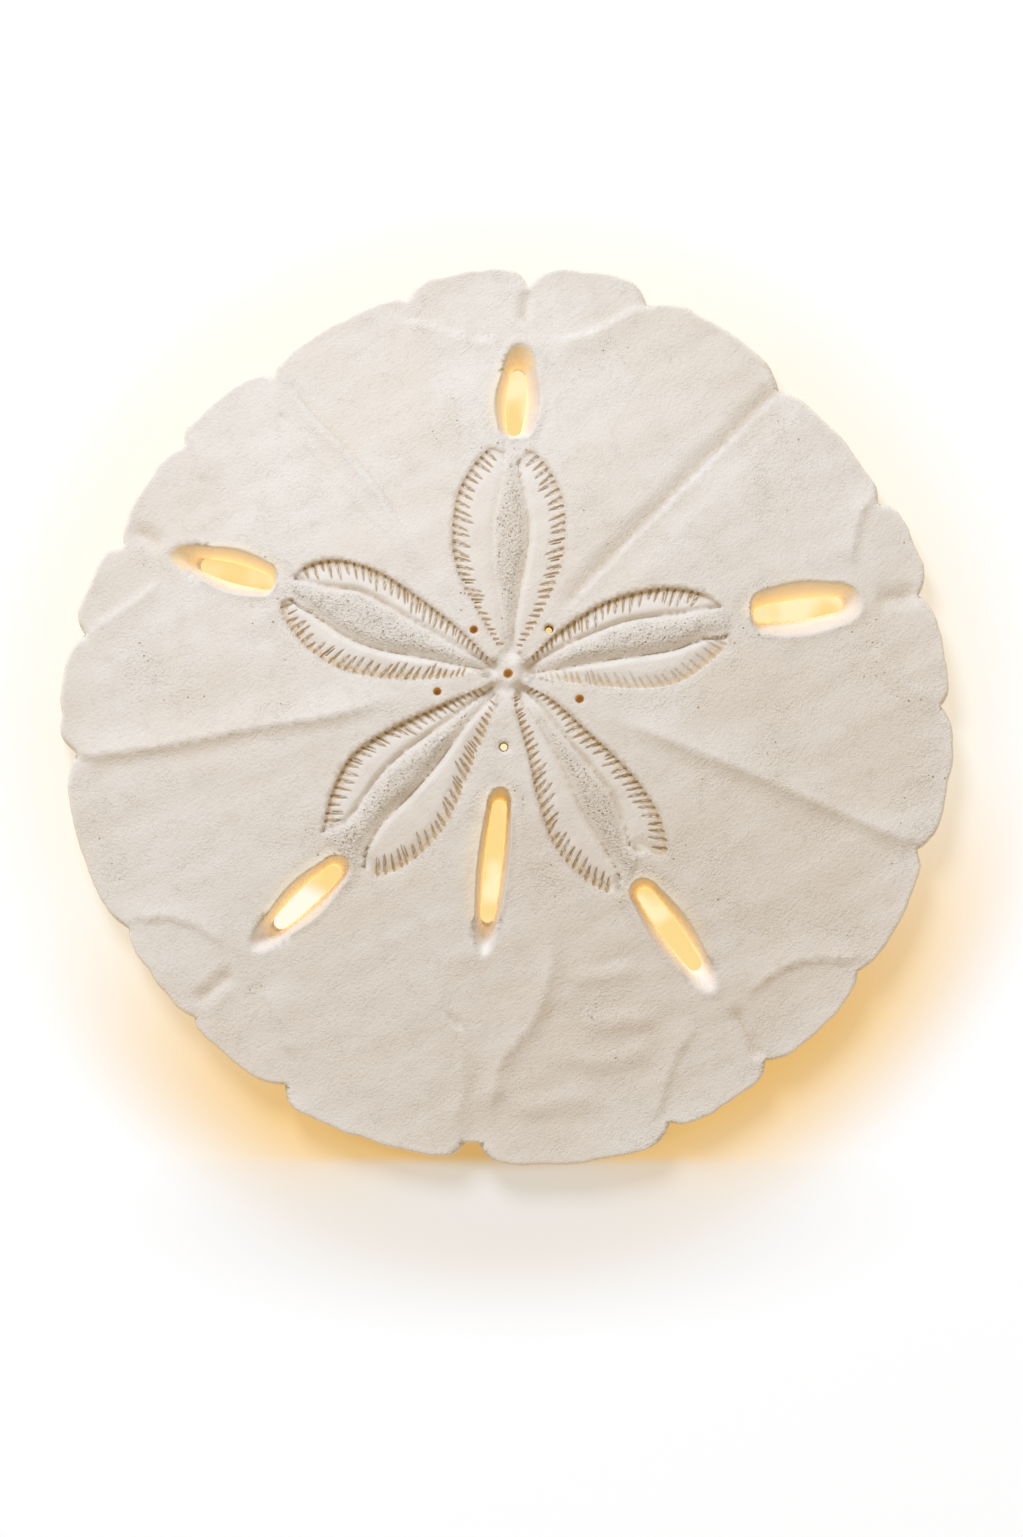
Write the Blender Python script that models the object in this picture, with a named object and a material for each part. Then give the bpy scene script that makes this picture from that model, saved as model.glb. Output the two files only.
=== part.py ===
"""A keyhole sand dollar, lying on its flat underside with its five petals up.

One grown piece: a domed, scalloped plate with six slots through it. Sizes are
in millimetres until the mesh is made. Plan positions are (across, up) from the
middle of the outline, and height 0 is the plane that the plate rests on. Every
path of a fold, slot or petal is listed as it is met along that feature.
"""

import math

import bmesh
import bpy
import numpy as np
from mathutils import Vector
from mathutils.geometry import delaunay_2d_cdt

MM = 0.001
NAME = "sand_dollar"

# Heights and rounded margin
HUB = (0.3, 5.6)
DOME_RADIUS = 59.5
APEX_HEIGHT = 13.5
PLATEAU_HEIGHT = 4.8
EDGE_HEIGHT = 2.1
TOP_ROUND = 1.6
UNDER_ROUND = 2.0
TOP_INSETS = (0.25, 0.8, 1.6)
UNDER_INSETS = (0.6, 2.0)
MARGIN = 2.6
HALF_SPAN = 62.0

# Scallops of the outline: notch angle in degrees, notch radius, bulge of the lobe that
# follows and how sharply that lobe turns into its notches
SCALLOPS = (
    (1.3, 58.9, 1.55, 5),
    (16.3, 58.1, 1.95, 5),
    (29.7, 58.2, 1.2, 5),
    (50.0, 57.5, 2.0, 5),
    (71.0, 58.9, 2.75, 5),
    (87.0, 58.5, 2.4, 5),
    (103.5, 57.9, 1.3, 5),
    (124.3, 55.8, 1.8, 5),
    (140.0, 57.0, 1.25, 5),
    (156.0, 56.7, 2.2, 5),
    (169.0, 57.9, 2.1, 5),
    (185.0, 58.6, 1.8, 5),
    (209.5, 58.6, 1.0, 5),
    (224.0, 58.6, 1.3, 5),
    (239.0, 58.3, 2.4, 12),
    (264.6, 58.1, 0.0, 5),
    (266.3, 58.1, 2.7, 9),
    (292.0, 59.4, 1.65, 5),
    (307.0, 58.6, 1.4, 5),
    (324.0, 58.9, 1.4, 5),
    (342.0, 58.7, 1.95, 5),
)
OUTLINE_STEPS = 7
OUTLINE_STEP_ANGLE = 2.0
NOTCH_CROWDING = 0.1

# Petals: each side has an outer border and an inner valley, both from the hub to the tip
PETALS = {
    "top": (
        (
            ((-0.9, 8.6), (-3.9, 13.8), (-6.5, 18.8), (-7.4, 23.8), (-6.8, 29.4), (-4.7, 33.6),
             (-2.2, 36.2), (-0.3, 35.6)),
            ((0.3, 8.5), (-0.9, 14.2), (-1.9, 20.8), (-1.8, 26.2), (-0.3, 31.6), (-0.3, 35.6)),
        ),
        (
            ((1.8, 8.4), (4.7, 13.2), (7.4, 19.3), (8.2, 25.1), (7.6, 30.0), (5.3, 34.2),
             (3.2, 35.8), (1.6, 34.4)),
            ((0.8, 8.4), (1.4, 13.1), (2.4, 18.9), (3.2, 24.8), (2.0, 29.8), (1.6, 34.4)),
        ),
    ),
    "left": (
        (
            ((-2.3, 5.8), (-10.0, 4.7), (-16.9, 4.9), (-22.4, 6.1), (-27.3, 9.3), (-30.1, 13.1),
             (-30.4, 15.4), (-29.2, 15.9)),
            ((-2.2, 6.0), (-10.0, 7.6), (-17.0, 8.9), (-21.6, 10.7), (-26.2, 13.9), (-29.2, 15.9)),
        ),
        (
            ((-1.6, 7.3), (-6.9, 12.4), (-13.5, 17.4), (-18.1, 20.0), (-22.8, 21.2), (-26.7, 20.5),
             (-28.9, 18.6)),
            ((-1.9, 6.6), (-7.7, 10.0), (-13.9, 13.5), (-19.4, 16.6), (-24.4, 17.3), (-28.9, 18.6)),
        ),
    ),
    "right": (
        (
            ((2.7, 7.4), (7.3, 11.7), (13.4, 15.5), (20.1, 17.3), (24.8, 17.1), (27.5, 16.1),
             (29.3, 14.7)),
            ((3.1, 6.7), (9.3, 10.0), (16.3, 12.7), (24.0, 13.8), (29.3, 14.7)),
        ),
        (
            ((2.8, 5.3), (9.5, 4.1), (18.0, 3.4), (23.5, 4.3), (27.5, 6.9), (30.0, 9.5),
             (30.1, 10.9)),
            ((3.2, 5.6), (9.5, 6.8), (15.9, 7.8), (22.3, 8.8), (26.6, 10.4), (30.1, 10.9)),
        ),
    ),
    "lower_left": (
        (
            ((-0.7, 3.2), (-2.6, -2.3), (-5.4, -9.2), (-7.7, -14.4), (-10.9, -18.5), (-15.0, -21.2),
             (-17.7, -21.7), (-19.2, -20.7)),
            ((-1.1, 3.3), (-5.1, -0.8), (-8.9, -6.1), (-12.7, -10.5), (-16.5, -14.2),
             (-18.8, -17.8), (-19.2, -20.7)),
        ),
        (
            ((-1.9, 4.5), (-8.9, 1.6), (-15.7, -1.6), (-20.8, -5.1), (-23.4, -9.6), (-24.4, -13.1),
             (-25.0, -15.8)),
            ((-1.8, 3.9), (-7.2, -0.3), (-13.4, -4.7), (-17.1, -8.2), (-20.0, -12.4),
             (-21.7, -14.4), (-25.0, -15.8)),
        ),
    ),
    "lower_right": (
        (
            ((2.7, 4.2), (6.3, 2.3), (11.6, -2.4), (16.7, -7.3), (20.1, -12.0), (21.6, -15.9),
             (21.7, -18.9), (18.2, -18.6)),
            ((2.6, 3.5), (6.8, -1.6), (11.3, -6.9), (14.3, -10.9), (15.9, -14.9), (16.5, -17.4),
             (18.2, -18.6)),
        ),
        (
            ((0.9, 3.1), (1.1, 0.8), (2.8, -5.3), (4.2, -11.7), (6.6, -18.0), (10.3, -22.0),
             (13.5, -24.0), (15.3, -23.9)),
            ((1.6, 3.2), (3.9, -0.4), (7.4, -6.6), (10.4, -13.1), (13.4, -18.1), (15.3, -21.1),
             (15.3, -23.9)),
        ),
    ),
}
RECESS_DEPTHS = {"top": 0.36, "left": 0.75, "right": 0.75, "lower_left": 0.75, "lower_right": 0.75}
RECESS_WALL = 0.4
RECESS_FLOOR = 2.4
RECESS_LEAST = 0.35
BAND_RECOVERY = 0.6
VALLEY_DEPTH = 0.6
VALLEY_WIDTH = 1.3
LENS_HEIGHT = 0.35
LENS_SLOPE = 1.6

# Incised strokes along each petal's outer border
STROKE_SPACING = (0.75, 1.15)
STROKE_LENGTH = (0.9, 2.5)
STROKE_GROWTH = 0.4
STROKE_LEAN = math.radians(50)
STROKE_LEAN_POWER = 1.5
STROKE_START = 0.42
STROKE_HALF_WIDTH = 0.2
STROKE_DEEPEST = 0.3
STROKE_DEPTH = 0.45
STROKE_FIRST = 1.2
STROKE_LAST = 1.6

# Slots: outer and inner cap centre, flare at the outer end, left side, inner end, right side,
# as met when looking from the outer end to the inner one
SLOT_HALF_WIDTH = 1.12
SLOT_FLARE_UNDER = 1.0
SLOTS = {
    "top": ((1.6, 45.9), (1.1, 39.0), (3.6, 1.7, 0.7, 1.2)),
    "left": ((-40.4, 20.4), (-32.5, 18.2), (4.4, 1.5, 0.6, 1.1)),
    "right": ((44.6, 15.1), (34.6, 13.8), (2.6, 1.9, 0.7, 2.0)),
    "lower_left": ((-30.5, -27.9), (-23.4, -21.2), (4.4, 1.1, 1.8, 1.1)),
    "lower_right": ((25.5, -33.5), (18.9, -24.3), (3.4, 1.1, 1.6, 1.1)),
    "rear": ((-2.5, -27.1), (-0.9, -12.4), (4.3, 1.1, 2.2, 1.0)),
}
SLOT_RINGS = (0.14, 0.5, 1.0)
SLOT_UNDER_RINGS = (0.35, 1.0)
SLOT_END_STEPS = 6
SLOT_REACH = 20.0

# Pores round the hub: centre and rim radius; two run right through
BLIND_PORES = (
    ((0.3, 5.6), 0.63),
    ((-4.3, 11.5), 0.56),
    ((9.9, 2.2), 0.62),
    ((-9.2, 3.2), 0.56),
)
OPEN_PORES = (
    ((5.8, 11.6), 0.6),
    ((-0.3, -4.2), 0.66),
)
PORE_DEPTH = 2.4
PORE_TAPER = 0.75
PORE_SIDES = 8
PORE_UNDER_RADIUS = 0.82
PORE_UNDER_ROUND = (0.5, 0.3)

# Folds of the plate, from the margin inward: path, height, width on its left, width on its right
FOLDS = {
    "upper_left_ridge": (
        ((-30.4, 47.6), (-26.3, 40.4), (-21.5, 35.4), (-17.4, 30.6), (-15.0, 26.6),
         (-11.7, 21.7), (-8.6, 17.6)), 0.5, 1.0, 3.6),
    "upper_right_valley": (
        ((35.6, 43.2), (28.4, 35.8), (17.3, 24.6), (9.6, 16.5), (6.6, 13.0)), -0.75, 1.1, 3.2),
    "upper_right_crest": (
        ((34.6, 39.9), (28.4, 33.9), (18.0, 23.4), (10.4, 15.8), (7.6, 12.6)), 0.35, 5.0, 1.1),
    "left_ridge": (
        ((-55.5, -5.2), (-47.1, -4.1), (-33.9, -1.6), (-22.1, 0.4), (-13.4, 3.1)), 0.8, 6.0, 2.4),
    "right_ridge": (
        ((53.9, -16.7), (44.8, -12.8), (30.8, -6.8), (19.6, -2.3), (11.7, 0.5)), 0.8, 2.8, 6.0),
    "rear_left_edge": (
        ((-6.6, -53.5), (-5.6, -49.8), (-6.2, -44.6), (-9.0, -37.7), (-9.6, -32.0)),
        0.35, 3.0, 2.6),
    "rear_right_edge": (
        ((-1.4, -50.5), (-0.9, -47.1), (2.0, -43.4), (4.0, -40.6), (6.0, -33.6), (6.2, -29.0)),
        0.5, 5.5, 3.0),
    "rear_groove": (
        ((-4.7, -57.0), (-4.5, -52.0), (-3.6, -45.0)), -0.3, 3.0, 3.0),
    "top_left_step": (
        ((-11.9, 53.2), (-8.6, 52.0), (-4.1, 50.6), (-0.1, 51.0)), 0.45, 1.1, 5.0),
    "top_cleft": (
        ((2.7, 56.6), (2.4, 52.8)), -0.7, 1.1, 1.1),
    "top_right_step": (
        ((17.6, 54.9), (14.3, 53.1), (10.7, 51.3), (5.7, 50.4)), 0.52, 5.0, 1.3),
    "right_upper_step": (
        ((49.4, 29.2), (48.1, 27.8), (47.4, 25.1), (46.6, 20.1)), 0.45, 1.0, 4.0),
    "right_cleft": (
        ((54.3, 16.3), (49.8, 15.7)), -0.7, 2.2, 2.2),
    "right_lower_step": (
        ((56.6, 2.9), (54.8, 4.1), (51.7, 6.8), (49.3, 9.6)), 0.38, 4.0, 1.1),
    "lower_right_upper_step": (
        ((46.6, -32.9), (41.9, -32.7), (37.1, -34.2), (31.7, -38.1)), 0.45, 1.1, 4.0),
    "lower_right_cleft": (
        ((33.9, -45.4), (30.5, -39.2)), -0.6, 1.6, 1.6),
    "lower_right_lower_step": (
        ((20.7, -53.2), (21.7, -49.5), (23.5, -45.0), (26.2, -41.6)), 0.34, 4.0, 1.0),
    "lower_left_upper_step": (
        ((-48.6, -27.4), (-46.0, -27.1), (-42.0, -28.2), (-37.3, -31.6)), 0.45, 4.0, 1.1),
    "lower_left_cleft": (
        ((-41.0, -38.0), (-36.9, -34.4)), -0.6, 1.6, 1.6),
    "lower_left_lower_step": (
        ((-29.7, -44.4), (-31.6, -39.2), (-33.2, -36.6)), 0.38, 1.1, 4.0),
    "left_upper_step": (
        ((-41.9, 35.9), (-41.2, 33.9), (-41.2, 31.6)), 0.38, 4.0, 1.0),
    "left_cleft": (
        ((-49.4, 24.7), (-46.3, 23.0)), -0.7, 2.0, 2.0),
    "left_lower_step": (
        ((-54.6, 12.6), (-52.1, 14.2), (-48.7, 16.5), (-46.4, 18.8)), 0.45, 1.1, 4.0),
}
FOLD_END = 0.25

# Underside: mouth, vent and the food grooves that run out from the mouth
MOUTH = ((0.3, 4.0), 2.4, 1.9)
VENT = ((-0.6, -7.0), 1.2, 1.2)
ROUND_SIDES = 14
ROUND_FLOOR = 0.6
GROOVE_ANGLES = (90, 162, 18, 234, 306)
GROOVE_GAP = 0.8
GROOVE_TRUNK = 9.0
GROOVE_REACH = 30.0
GROOVE_SPREAD = 17
GROOVE_BOW = 3.5
GROOVE_FORK_GAP = 0.9
GROOVE_SPACING = 4.5
GROOVE_HALF_WIDTH = 0.5
GROOVE_DEPTH = 0.45

# Spacing of the points that carry the plain surface
FIELD_SPACING = 3.3
PETAL_SPACING = 1.7
UNDER_SPACING = 9.0
UNDER_MARGIN = 4.0
PATH_SPACING = 1.7
FINE_SPACING = 0.25
PETAL_CLEARANCE = 0.55
FIELD_CLEARANCE = 0.62
UNDER_CLEARANCE = 0.5
FOOT_GAP = 3

WELD_DISTANCE = 1e-6
SMOOTH_ANGLE = math.radians(35)

CALCITE_COLOUR = (0.76, 0.70, 0.60, 1.0)
CALCITE_ROUGHNESS = 0.85


def clear_scene():
    for obj in list(bpy.data.objects):
        bpy.data.objects.remove(obj, do_unlink=True)


def ease(value):
    """Rise smoothly from 0 to 1 as the value goes from 0 to 1."""
    held = np.clip(value, 0.0, 1.0)
    return held * held * (3.0 - 2.0 * held)


def round_over(level):
    """Rise from 0 to 1 as a quarter circle, with what is all but 0 held at 0."""
    held = np.clip(np.where(level < 1e-4, 0.0, level), 0.0, 1.0)
    return np.sqrt(1 - (1 - held) ** 2)


def smooth_path(points, spacing):
    """Return points about one spacing apart on a smooth curve through the given ones."""
    knots = np.array(points, dtype=float)
    padded = np.vstack([2 * knots[0] - knots[1], knots, 2 * knots[-1] - knots[-2]])
    path = [knots[0]]
    for before, start, end, after in zip(padded, padded[1:], padded[2:], padded[3:]):
        steps = max(1, round(float(np.linalg.norm(end - start)) / spacing))
        for step in range(1, steps + 1):
            t = step / steps
            pull = (end - before) * t + (2 * before - 5 * start + 4 * end - after) * t ** 2
            bend = (3 * start - before - 3 * end + after) * t ** 3
            path.append(start + 0.5 * (pull + bend))
    return np.array(path)


def beside(path, offset):
    """Return a path moved to its left by an offset."""
    heading = np.gradient(path, axis=0)
    heading /= np.linalg.norm(heading, axis=1, keepdims=True)
    return path + offset * np.stack([-heading[:, 1], heading[:, 0]], axis=1)


def near(points, path):
    """Return each point's distance to a path, its side (left is 1) and how far along it is."""
    distance = np.full(len(points), np.inf)
    side = np.ones(len(points))
    along = np.zeros(len(points))
    lengths = np.linalg.norm(np.diff(path, axis=0), axis=1)
    walked = 0.0
    for start, end, length in zip(path, path[1:], lengths):
        heading = (end - start) / length
        offset = points - start
        run = np.clip(offset @ heading, 0.0, length)
        gap = np.linalg.norm(offset - run[:, None] * heading, axis=1)
        turn = heading[0] * offset[:, 1] - heading[1] * offset[:, 0]
        closer = gap < distance
        distance = np.where(closer, gap, distance)
        side = np.where(closer, np.sign(turn), side)
        along = np.where(closer, walked + run, along)
        walked += length
    return distance, side, along / walked


def is_inside(points, ring):
    """Tell which points lie inside a closed ring."""
    inside = np.zeros(len(points), dtype=bool)
    for start, end in zip(ring, np.roll(ring, -1, axis=0)):
        spans = (start[1] > points[:, 1]) != (end[1] > points[:, 1])
        rise = end[1] - start[1] or 1e-12
        crossing = start[0] + (end[0] - start[0]) * (points[:, 1] - start[1]) / rise
        inside ^= spans & (points[:, 0] < crossing)
    return inside


def is_free(points, rings):
    """Tell which points lie outside every one of some rings."""
    return ~np.any([is_inside(points, ring) for ring in rings], axis=0)


def outline_radius(angle):
    """Return the outline's radius at an angle in degrees."""
    starts = np.array([notch[0] for notch in SCALLOPS])
    turned = (np.asarray(angle, dtype=float) - starts[0]) % 360 + starts[0]
    index = np.searchsorted(starts, turned, side="right") - 1
    table = np.array(SCALLOPS)
    after = (index + 1) % len(SCALLOPS)
    span = (table[after, 0] - table[index, 0]) % 360
    t = (turned - table[index, 0]) / span
    chord = table[index, 1] * (1 - t) + table[after, 1] * t
    return chord + table[index, 2] * (1 - np.abs(2 * t - 1) ** table[index, 3])


def outline_ring():
    """Return the scalloped outline, with a point in every notch."""
    ring = []
    for index, scallop in enumerate(SCALLOPS):
        start = scallop[0]
        span = (SCALLOPS[(index + 1) % len(SCALLOPS)][0] - start) % 360
        steps = max(1, min(OUTLINE_STEPS, round(span / OUTLINE_STEP_ANGLE)))
        for step in range(steps):
            t = step / steps
            eased = t + NOTCH_CROWDING * math.sin(4 * math.pi * t) * (1 - 2 * abs(t - 0.5))
            angle = start + span * eased
            radius = float(outline_radius(angle))
            ring.append((radius * math.cos(math.radians(angle)),
                         radius * math.sin(math.radians(angle))))
    return np.array(ring)


def inset(ring, distance):
    """Move a ring about the middle inward by a distance."""
    radius = np.linalg.norm(ring, axis=1, keepdims=True)
    return ring * (1 - distance / radius)


def spread_from_hub(points):
    """Return 0 at the hub and 1 at the dome's foot, along lines out from the hub."""
    spread = np.full(len(points), 0.5)
    for _ in range(8):
        centred = points - np.array(HUB) * (1 - spread[:, None])
        spread = np.linalg.norm(centred, axis=1) / DOME_RADIUS
    return np.clip(spread, 0.0, 1.0)


def slot_flare(points, slot):
    """Return how far each point is up a slot's flare: 0 at the slot, 1 at its rim."""
    outer, inner, (outer_flare, left_flare, inner_flare, right_flare) = slot
    outer = np.array(outer)
    inner = np.array(inner)
    length = np.linalg.norm(inner - outer)
    heading = (inner - outer) / length
    offset = points - outer
    run = offset @ heading
    across = heading[0] * offset[:, 1] - heading[1] * offset[:, 0]
    beyond = run - np.clip(run, 0.0, length)
    side = np.where(across > 0, left_flare, right_flare)
    end = np.where(beyond < 0, outer_flare, inner_flare)
    flare = np.where(beyond == 0, (np.abs(across) - SLOT_HALF_WIDTH) / side, SLOT_REACH)
    at_end = (beyond != 0) & (np.hypot(beyond, across) < SLOT_REACH)
    flare[at_end] = end_flare(across[at_end], beyond[at_end], side[at_end], end[at_end])
    return flare


def end_flare(across, beyond, side, end):
    """Return the flare at points beyond a slot's end, where each ring is half an ellipse."""
    flare = np.full(len(across), 0.5)
    for _ in range(12):
        wide = np.maximum(SLOT_HALF_WIDTH + side * flare, 0.05)
        long = np.maximum(SLOT_HALF_WIDTH + end * flare, 0.05)
        size = np.hypot(across / wide, beyond / long)
        slope = (across ** 2 * side / wide ** 3 + beyond ** 2 * end / long ** 3) / size
        flare = np.clip(flare + (size - 1) / slope, -0.8 * SLOT_HALF_WIDTH / side, SLOT_REACH)
    return flare


def slot_ring(slot, level):
    """Return the ring round a slot at a level of its flare: 0 is the slot, 1 the rim."""
    outer = np.array(slot[0])
    inner = np.array(slot[1])
    outer_flare, left_flare, inner_flare, right_flare = slot[2]
    heading = (inner - outer) / np.linalg.norm(inner - outer)
    left = np.array((-heading[1], heading[0]))
    ends = ((outer, -heading, left, left_flare, right_flare, outer_flare),
            (inner, heading, -left, right_flare, left_flare, inner_flare))
    ring = []
    for centre, out, turn, first_flare, last_flare, end in ends:
        long = SLOT_HALF_WIDTH + end * level
        for step in range(SLOT_END_STEPS + 1):
            angle = math.pi * step / SLOT_END_STEPS
            sideways = math.cos(angle)
            wide = SLOT_HALF_WIDTH + (first_flare if sideways > 0 else last_flare) * level
            ring.append(centre + turn * wide * sideways + out * long * math.sin(angle))
    return np.array(ring)


def petal_relief(points, sides, depth):
    """Return the height that one petal adds: sunk borders, valleys and a raised lens."""
    height = np.zeros(len(points))
    valleys = []
    for outer, inner in sides:
        border = smooth_path(outer, PATH_SPACING)
        valley = smooth_path(inner, PATH_SPACING)
        inside = is_inside(points, np.vstack([border, valley[::-1]]))
        from_border = near(points, border)[0]
        from_valley, _side, along = near(points, valley)
        room = np.clip((from_border + from_valley) / RECESS_FLOOR, RECESS_LEAST, 1.0)
        wall = ease(from_border / RECESS_WALL)
        floor = BAND_RECOVERY * ease((from_border - RECESS_WALL) / RECESS_FLOOR)
        height += np.where(inside, -depth * room * (wall - floor), 0.0)
        groove = np.clip(1 - from_valley / VALLEY_WIDTH, 0.0, 1.0) ** 2
        tip_fade = np.where(inside, wall, ease((1 - along) / FOLD_END))
        height -= VALLEY_DEPTH * groove * tip_fade
        valleys.append(valley)
    lens = is_inside(points, np.vstack([valleys[0], valleys[1][::-1]]))
    from_edge = np.minimum(near(points, valleys[0])[0], near(points, valleys[1])[0])
    return height + np.where(lens, LENS_HEIGHT * ease(from_edge / LENS_SLOPE), 0.0)


def fold_relief(points, fold):
    """Return the height that one fold of the plate adds."""
    knots, height, left_width, right_width = fold
    distance, side, along = near(points, smooth_path(knots, PATH_SPACING))
    width = np.where(side > 0, left_width, right_width)
    profile = np.clip(1 - distance / width, 0.0, 1.0) ** 2
    return height * profile * ease((1 - along) / FOLD_END)


def top_height(points, outline):
    """Return the height of the upper surface over plan points."""
    spread = spread_from_hub(points)
    height = PLATEAU_HEIGHT + (APEX_HEIGHT - PLATEAU_HEIGHT) * (1 - spread ** 2) ** 1.5
    for fold in FOLDS.values():
        height += fold_relief(points, fold)
    for name, sides in PETALS.items():
        height += petal_relief(points, sides, RECESS_DEPTHS[name])
    closed = np.vstack([outline, outline[:1]])
    rise = round_over(near(points, closed)[0] / TOP_ROUND)
    for slot in SLOTS.values():
        rise = rise * round_over(slot_flare(points, slot))
    for centre, radius in OPEN_PORES:
        from_pore = np.linalg.norm(points - np.array(centre), axis=1)
        rise = np.where(from_pore < radius * (1 + PORE_TAPER) / 2, 0.0, rise)
    return EDGE_HEIGHT + (height - EDGE_HEIGHT) * rise


def under_height(points, outline):
    """Return the height of the flat underside over plan points."""
    closed = np.vstack([outline, outline[:1]])
    inward = near(points, closed)[0] / UNDER_ROUND
    for slot in SLOTS.values():
        flare = (slot[0], slot[1], (SLOT_FLARE_UNDER,) * 4)
        inward = np.minimum(inward, slot_flare(points, flare))
    for centre, _radius in OPEN_PORES:
        from_pore = np.linalg.norm(points - np.array(centre), axis=1)
        inward = np.minimum(inward, (from_pore - PORE_UNDER_ROUND[0]) / PORE_UNDER_ROUND[1])
    return EDGE_HEIGHT * (1 - round_over(inward))


def circle(centre, radius, sides):
    """Return a ring of points on a circle."""
    angles = np.arange(sides) * 2 * math.pi / sides
    return np.array(centre) + radius * np.stack([np.cos(angles), np.sin(angles)], axis=1)


class Plan:
    """Plan points with the lines that must be edges and how far some points are sunk."""

    def __init__(self):
        self.points = []
        self.sinks = []
        self.edges = []

    def add(self, points, sink=0.0, line=False, closed=False):
        """Add points, joined one to the next if they form a line."""
        first = len(self.points)
        count = len(points)
        self.points.extend(tuple(point) for point in points)
        self.sinks.extend([sink] * count)
        if line:
            self.edges.extend((first + i, first + i + 1) for i in range(count - 1))
        if closed:
            self.edges.append((first + count - 1, first))

    def scatter(self, spacing, is_wanted, clearance):
        """Fill what is wanted with a staggered grid, clear of the points already there."""
        pitch = spacing * math.sin(math.radians(60))
        rows = int(HALF_SPAN / pitch)
        columns = int(HALF_SPAN / spacing) + 1
        grid = np.array([((column + 0.5 * (row % 2)) * spacing, row * pitch)
                         for row in range(-rows, rows + 1)
                         for column in range(-columns, columns + 1)])
        grid = grid[is_wanted(grid)]
        taken = np.array(self.points)
        gaps = np.full(len(grid), np.inf)
        for point in taken:
            gaps = np.minimum(gaps, np.linalg.norm(grid - point, axis=1))
        self.add(grid[gaps > clearance * spacing])

    def mesh(self, name, rings, height_of, is_face_up):
        """Triangulate the plan inside the first ring and outside the others, and lift it."""
        points = [Vector(point) for point in self.points]
        found = delaunay_2d_cdt(points, self.edges, [], 0, 1e-5)
        plan = np.array([tuple(point) for point in found[0]])
        sinks = np.array([max((self.sinks[i] for i in sources), default=0.0)
                          for sources in found[3]])
        heights = height_of(plan) - sinks
        faces = np.array(found[2])
        middles = plan[faces].mean(axis=1)
        kept = is_inside(middles, rings[0])
        for ring in rings[1:]:
            kept &= ~is_inside(middles, ring)
        faces = faces[kept]
        if not is_face_up:
            faces = faces[:, ::-1]
        mesh = bpy.data.meshes.new(name)
        vertices = np.column_stack([plan, heights]) * MM
        mesh.from_pydata(vertices.tolist(), [], faces.tolist())
        return mesh


def stroke_paths(side, petal_axis):
    """Yield each stroke of a petal's side as its two outer corners, deep point and inner end."""
    outer, inner = side
    border = smooth_path(outer, FINE_SPACING)
    leaf = np.vstack([smooth_path(outer, PATH_SPACING), smooth_path(inner, PATH_SPACING)[::-1]])
    lengths = np.linalg.norm(np.diff(border, axis=0), axis=1)
    walked = np.concatenate([[0.0], np.cumsum(lengths)])
    axis = petal_axis / np.linalg.norm(petal_axis)
    middle = leaf.mean(axis=0)
    across = np.array((-axis[1], axis[0]))
    if np.dot(across, middle - border[len(border) // 2]) < 0:
        across = -across
    place = STROKE_FIRST
    while place < walked[-1] - STROKE_LAST:
        t = place / walked[-1]
        root = np.array([np.interp(place, walked, border[:, 0]),
                         np.interp(place, walked, border[:, 1])])
        growth = float(ease(t / STROKE_GROWTH))
        lean = STROKE_LEAN * t ** STROKE_LEAN_POWER
        heading = across * math.cos(lean) - axis * math.sin(lean)
        start = root + heading * STROKE_START
        length = STROKE_LENGTH[0] + (STROKE_LENGTH[1] - STROKE_LENGTH[0]) * growth
        half = np.array((-heading[1], heading[0])) * STROKE_HALF_WIDTH
        corners = np.array([start + half, start + heading * length, start - half])
        deep = start + heading * STROKE_DEEPEST
        if is_inside(corners, leaf).all():
            yield corners, deep
        place += STROKE_SPACING[0] + (STROKE_SPACING[1] - STROKE_SPACING[0]) * growth


def start_plan(outline):
    """Start a plan with the outline, the slots and the open pores, and return their rings too."""
    plan = Plan()
    rings = [outline]
    rings += [slot_ring(slot, 0.0) for slot in SLOTS.values()]
    rings += [circle(centre, radius * PORE_TAPER, PORE_SIDES) for centre, radius in OPEN_PORES]
    for ring in rings:
        plan.add(ring, line=True, closed=True)
    return plan, rings


def add_openings(plan):
    """Add the flares of the slots and the bores of the pores."""
    for slot in SLOTS.values():
        for level in SLOT_RINGS:
            plan.add(slot_ring(slot, level), line=True, closed=True)
    for centre, radius in BLIND_PORES + OPEN_PORES:
        plan.add(circle(centre, radius, PORE_SIDES), line=True, closed=True)
    for centre, radius in BLIND_PORES:
        plan.add(circle(centre, radius * PORE_TAPER, PORE_SIDES), PORE_DEPTH, True, True)


def add_petal(plan, petal):
    """Add a petal's borders, valleys, feet and strokes."""
    tip = np.mean([side[0][-1] for side in petal], axis=0)
    for side in petal:
        valley = smooth_path(side[1], PATH_SPACING)
        plan.add(smooth_path(side[0], PATH_SPACING), line=True)
        plan.add(valley[1:-1], line=True)
        lensward = -1 if side is petal[0] else 1
        for offset in (LENS_SLOPE * lensward, -VALLEY_WIDTH * lensward):
            plan.add(beside(valley, offset)[FOOT_GAP:-FOOT_GAP], line=True)
        for corners, deep in stroke_paths(side, tip - np.array(HUB)):
            plan.add(corners, line=True, closed=True)
            plan.add([deep], STROKE_DEPTH)


def petal_hull(petal):
    """Return the ring round a whole petal."""
    left = smooth_path(petal[0][0], PATH_SPACING)
    right = smooth_path(petal[1][0], PATH_SPACING)
    return np.vstack([left, right[::-1]])


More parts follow.
